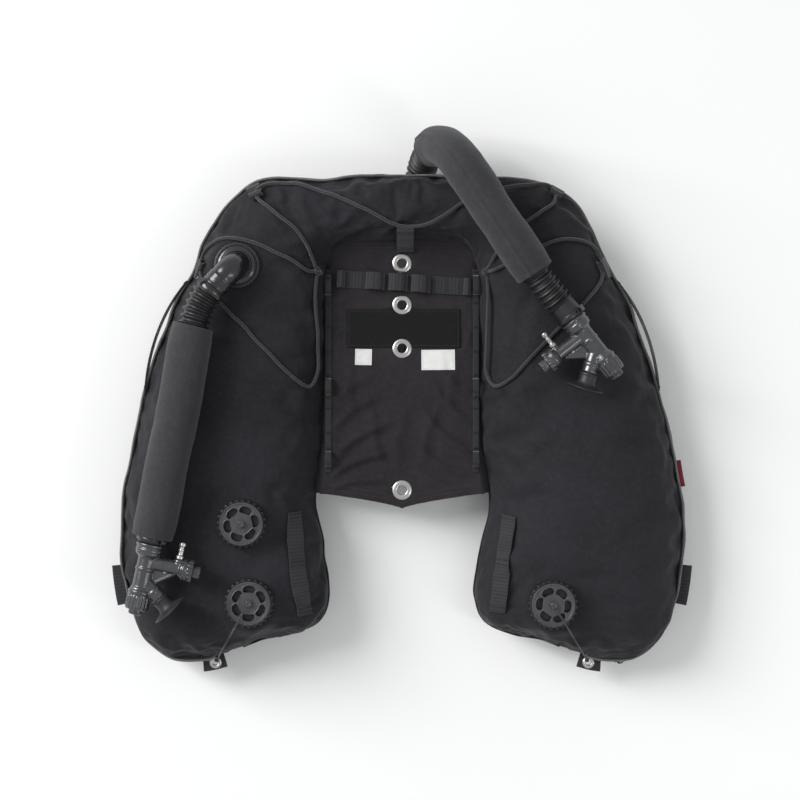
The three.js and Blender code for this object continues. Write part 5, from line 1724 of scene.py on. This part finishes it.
def zip_pieces():
    """The zip and everything sewn along the seam with it."""
    line, away = seam_run(0.03, 0.97, 0.7, 0.0, 3.0)
    up = np.array((0, 0, 1.0))
    run = lengths(line)
    tucked = 1 - rise(np.minimum(run, run[-1] - run), 0.0, 0.03)
    wave = 0.35 * MM * ripple(run, 91, 0.03) - 2.6 * MM * tucked
    ribbon(line + away * wave[:, None], up, away, 11.5, 0.9, across=6).build(
        "zip_tape", WEBBING, "webbing", "wing", "perimeter_zip")
    coil, _ = seam_run(0.031, 0.969, 1.7, 0.0, 0.75)
    radius = 1.15 + 0.35 * np.cos(lengths(coil) / MM * 2 * math.pi / 3.0)
    Form().tube(coil, radius * MM, sides=8).build("zip_teeth", VALVE, "webbing", "wing", sharp=70)
    for tag, height in (("front", 7.2), ("back", -7.2)):
        pipe, _ = seam_run(0.012, 0.988, 1.5, height, 2.5)
        Form().tube(pipe, (1.55 + 0.12 * ripple(lengths(pipe), 33, 0.02)) * MM, sides=12).build(
            f"zip_piping_{tag}", PIPING, "shell_fabric", "wing", sharp=70)
    welt, _ = seam_run(0.0, 1.0, 0.2, 0.0, 2.5, inner=True)
    Form().tube(welt, 1.5 * MM, sides=12).build("inner_welt", SHELL, "shell_fabric", "wing", sharp=70)
    zip_slider(coil)
    for tag, columns in (("front", half - 5), ("back", half + 5)):
        row = skin[8:-8, columns]
        away = unit(row - skin[8:-8].mean(axis=1))
        stitches(f"rim_stitching_{tag}", row + away * 0.15 * MM, away, "wing", pitch=4.6, size=0.6,
            slot="shell_fabric")


def zip_slider(coil):
    """The slider and its pull cord near the end of the zip."""
    i = len(coil) - 34
    at, way, side = coil[i], unit(coil[i] - coil[i - 4]), np.array((0, 0, 1.0))
    out = unit(np.cross(way, side))
    out = out * np.sign(np.dot(out, at - (0.2, -0.1, at[2])))

    def spot(d, v, h):
        return at + (way * d + side * v + out * h) * MM

    edge = ((-1, -0.6), (-0.6, 0.6), (0, 0.9), (0.6, 0.6), (1, -0.6), (0, -0.7))
    form = Form().grid(
        [[spot(d, a * w, 1.9 + b) for a, b in edge]
         for d, w in ((-7, 2.2), (-6, 3.4), (-2, 4.0), (3, 3.4), (6.5, 2.6), (7.2, 1.8))],
        round_v=True, ends="ab")
    arch = [spot(d, 0, 2.4 + h) for d, h in ((-3.5, 0), (-2.5, 1.4), (0, 2.0), (2.5, 1.4), (3.5, 0))]
    form.tube(smooth_line(arch, 0.5 * MM), 0.75 * MM, sides=10)
    form.build("zip_slider", VALVE, "webbing", "wing", sharp=45)
    path = smooth_line([spot(d, v, h) for d, v, h in (
        (0.5, 0, 4.0), (0.6, -5, 4.6), (0.4, -11, 4.4), (0, -18, 4.0), (-0.5, -26, 3.6))], 0.9 * MM)
    Form().tube(path, (1.3 + 0.7 * rise(lengths(path), 0.012, 0.016)) * MM, sides=12, flat=0.7).build(
        "zip_pull", SOFT, "soft_rubber", "wing")


zip_pieces()


# from and to along the horseshoe, from the tip of a lobe
LOWER_TAB, BOTTOM_TAB, SIDE_STRAP = (0.1215, 0.1455), (0.0085, 0.031), (0.24, 0.299)


def along_edge(span, count, flip, out, height):
    """Points beside the outer edge over a span of the left lobe, or of the right one."""
    first, last = (1 - t if flip else t for t in span)
    return outer_edge(np.linspace(first, last, count), out, height)


def bottom_eye(flip):
    """Middle of the eyelet in a bottom tab."""
    return along_edge((0.0195, 0.0195), 1, flip, 11 * MM, -5.25 * MM)[0][0]


def rim_trim(tag, flip):
    """The two tabs and the side strap of one lobe."""
    line, away = along_edge(LOWER_TAB, 40, flip, 7.4 * MM, -4.4 * MM)
    droop = 0.6 * MM * ripple(lengths(line), 51 + flip, 0.02)
    ribbon(line + (0, 0, 1) * droop[:, None], away, (0, 0, 1.0), 20.5, 3.0, across=14).build(
        f"lower_side_webbing_{tag}", GRIP, "webbing", "wing", f"lower_side_tab_{tag}")
    for k, offset in enumerate((1.2, 14.6)):
        row, _ = along_edge((0.122, 0.145), 60, flip, offset * MM, -2.9 * MM)
        stitches(f"lower_side_stitching_{tag}_{k + 1}", row, (0, 0, 1), "wing", pitch=3.2)
    rows = [along_edge(BOTTOM_TAB, 56, flip, reach, -4.0 * MM)[0] for reach in np.linspace(-0.001, 0.020,
        30)]
    tab = np.stack(rows, axis=1)
    tab[..., 2] += 0.25 * MM * patchy(tab[..., 0], tab[..., 1], 12, 0.012, 2)
    eye = bottom_eye(flip)
    pierced(tab, [eye[:2]], f"bottom_webbing_{tag}", GRIP, f"bottom_tab_{tag}", 2.5, 4.6 * MM)
    grommet(f"bottom_eyelet_{tag}", *eye, 3.2, 7.5, 2.75, f"bottom_tab_grommet_{tag}")
    # the side strap stands off the edge in the middle
    bulge = np.sin(math.pi * np.linspace(0, 1, 70))
    line, away = along_edge(SIDE_STRAP, 70, flip, (2.8 + 9 * bulge + 0.8) * MM, 0.0)
    ribbon(line - away * (1.2 * MM * bulge)[:, None], (0, 0, 1.0), away, 22, 1.6, across=10,
        crown=0.5).build(
        f"side_strap_webbing_{tag}", WEBBING, "webbing", "wing", f"side_strap_{tag}")
    for k, i in enumerate((2, -3)):
        bar_tack(f"side_strap_tack_{tag}_{k + 1}", line[i] + away[i] * 1.0 * MM,
                 unit(line[i + 1] - line[i - 1]), (0, 0, 1), away[i], 19, 13)


rim_trim("left", False)
rim_trim("right", True)

GRIPS = {"left": [(-131, -106), (-127, -172), (-118, -232)],
    "right": [(131, -110), (124, -156), (116, -228)]}


def grip(tag):
    """Ribbed webbing tacked at its ends and middle, arched between."""
    plan = smooth_line(mm(*((x, y, 0) for x, y in GRIPS[tag])), 1.5 * MM)
    s = lengths(plan) / lengths(plan)[-1]
    way = unit(np.gradient(plan, axis=0))
    side = np.column_stack([-way[:, 1], way[:, 0], np.zeros(len(way))])
    low, middle, high = (skin_under((plan + side * off * MM)[:, :2])[0] for off in (-9, 0, 9))
    slope = (high - low) / (18 * MM)
    lift = (1.2 + 4.0 * np.abs(np.sin(2 * math.pi * s)) ** 0.8 + 0.25 * np.sin(2 * math.pi * s * 23)) * MM
    line = plan.copy()
    line[:, 2] = middle + lift
    for _ in range(4):
        line[1:-1, 2] = (line[:-2, 2] + 2 * line[1:-1, 2] + line[2:, 2]) / 4
    leaning = unit(side + np.array((0, 0, 1.0)) * slope[:, None])
    up = upward(line, leaning)
    ribbon(line, leaning, up, 21, 1.6, across=12, crown=0.3).build(
        f"grip_band_{tag}", GRIP, "webbing", "wing", f"grip_webbing_{tag}")
    for k, place in enumerate((0.025, 0.06, 0.475, 0.525, 0.94, 0.975)):
        i = int(place * (len(line) - 1))
        bar_tack(f"grip_tack_{tag}_{k + 1}", line[i] + up[i] * 0.9 * MM, way[i], leaning[i], up[i], 18.5,
            13)


grip("left")
grip("right")


def red_tag():
    """A small folded tag in the seam of the right lobe, blank."""
    line, away = seam_run(0.0, 1.0, 4.3, 4.0, 1.0)
    keep = (line[:, 0] > 0.2) & (line[:, 1] < -0.044) & (line[:, 1] > -0.077)
    ribbon(line[keep], away[keep], (0, 0, 1.0), 9, 1.4, crown=0.2).build(
        "red_seam_tag", RED, "webbing", "wing")


red_tag()

# ---- pull cords of the lower dump valves ----

def pull_cord(tag, flip):
    """From the knob of a lower valve, over the cover and down through the bottom eyelet."""
    name = f"lower_{tag}_dump"
    start, eye = np.array(VALVES[name]), bottom_eye(flip)
    high = seats[name] + (VALVE_TOP + 3) * MM
    way = unit(eye[:2] - start)
    points = [(*(start + way * d * MM), high + up * MM) for d, up in ((4.6, -0.2), (18, 0.4), (33, -3))]
    for d, up in ((48, 3), (62, 5), (74, 8)):
        xy = start + way * d * MM
        points.append((*xy, skin_height(xy[None])[0] + up * MM))
    points.append((*(start + way * 84 * MM), eye[2] + 13 * MM))
    points += [(*(eye[:2] - way * back * MM), eye[2] + up * MM) for back, up in ((4, 4.2), (1.2, 0.5))]
    Form().tube(smooth_line(points, 1.0 * MM), 0.95 * MM, sides=12).build(
        f"pull_line_{tag}", LINE, "pull_cord", "wing", f"pull_cord_{tag}")
    knot(f"pull_line_knot_{tag}", np.array((*(eye[:2] - way * 3.4 * MM), eye[2] + 5.2 * MM)), 2.1, 0.9,
        LINE, "pull_cord", 3)


pull_cord("left", False)
pull_cord("right", True)

# ---- floor and light ----

FLOOR = Paint("floor")
FLOOR.set(Base_Color=(0.84, 0.84, 0.83, 1), Roughness=0.9, Specular_IOR_Level=0.2)
bpy.ops.mesh.primitive_plane_add(size=80)
floor = bpy.context.object
floor.name = "floor"
floor.data.materials.append(FLOOR.material)


def add_light(name, kind, energy, location, **settings):
    data = bpy.data.lights.new(name, kind)
    data.energy = energy
    for key, value in settings.items():
        setattr(data, key, value)
    made = bpy.data.objects.new(name, data)
    made.location = location
    made.rotation_euler = (-Vector(location)).to_track_quat("-Z", "Y").to_euler()
    scene.collection.objects.link(made)


add_light("key", "SUN", 1.9, (-1.7, 1.0, 1.5), angle=math.radians(32))
add_light("side", "AREA", 11, (-1.3, 0.5, 1.1), shape="RECTANGLE", size=0.2, size_y=1.4)
add_light("fill", "AREA", 5, (1.2, -0.6, 1.6), shape="RECTANGLE", size=0.25, size_y=1.2)
world = bpy.data.worlds.new("studio")
scene.world = world
world.use_nodes = True
background = world.node_tree.nodes["Background"]
background.inputs[0].default_value = (0.96, 0.98, 1.0, 1)
background.inputs[1].default_value = 0.6
scene.view_settings.view_transform = "Standard"
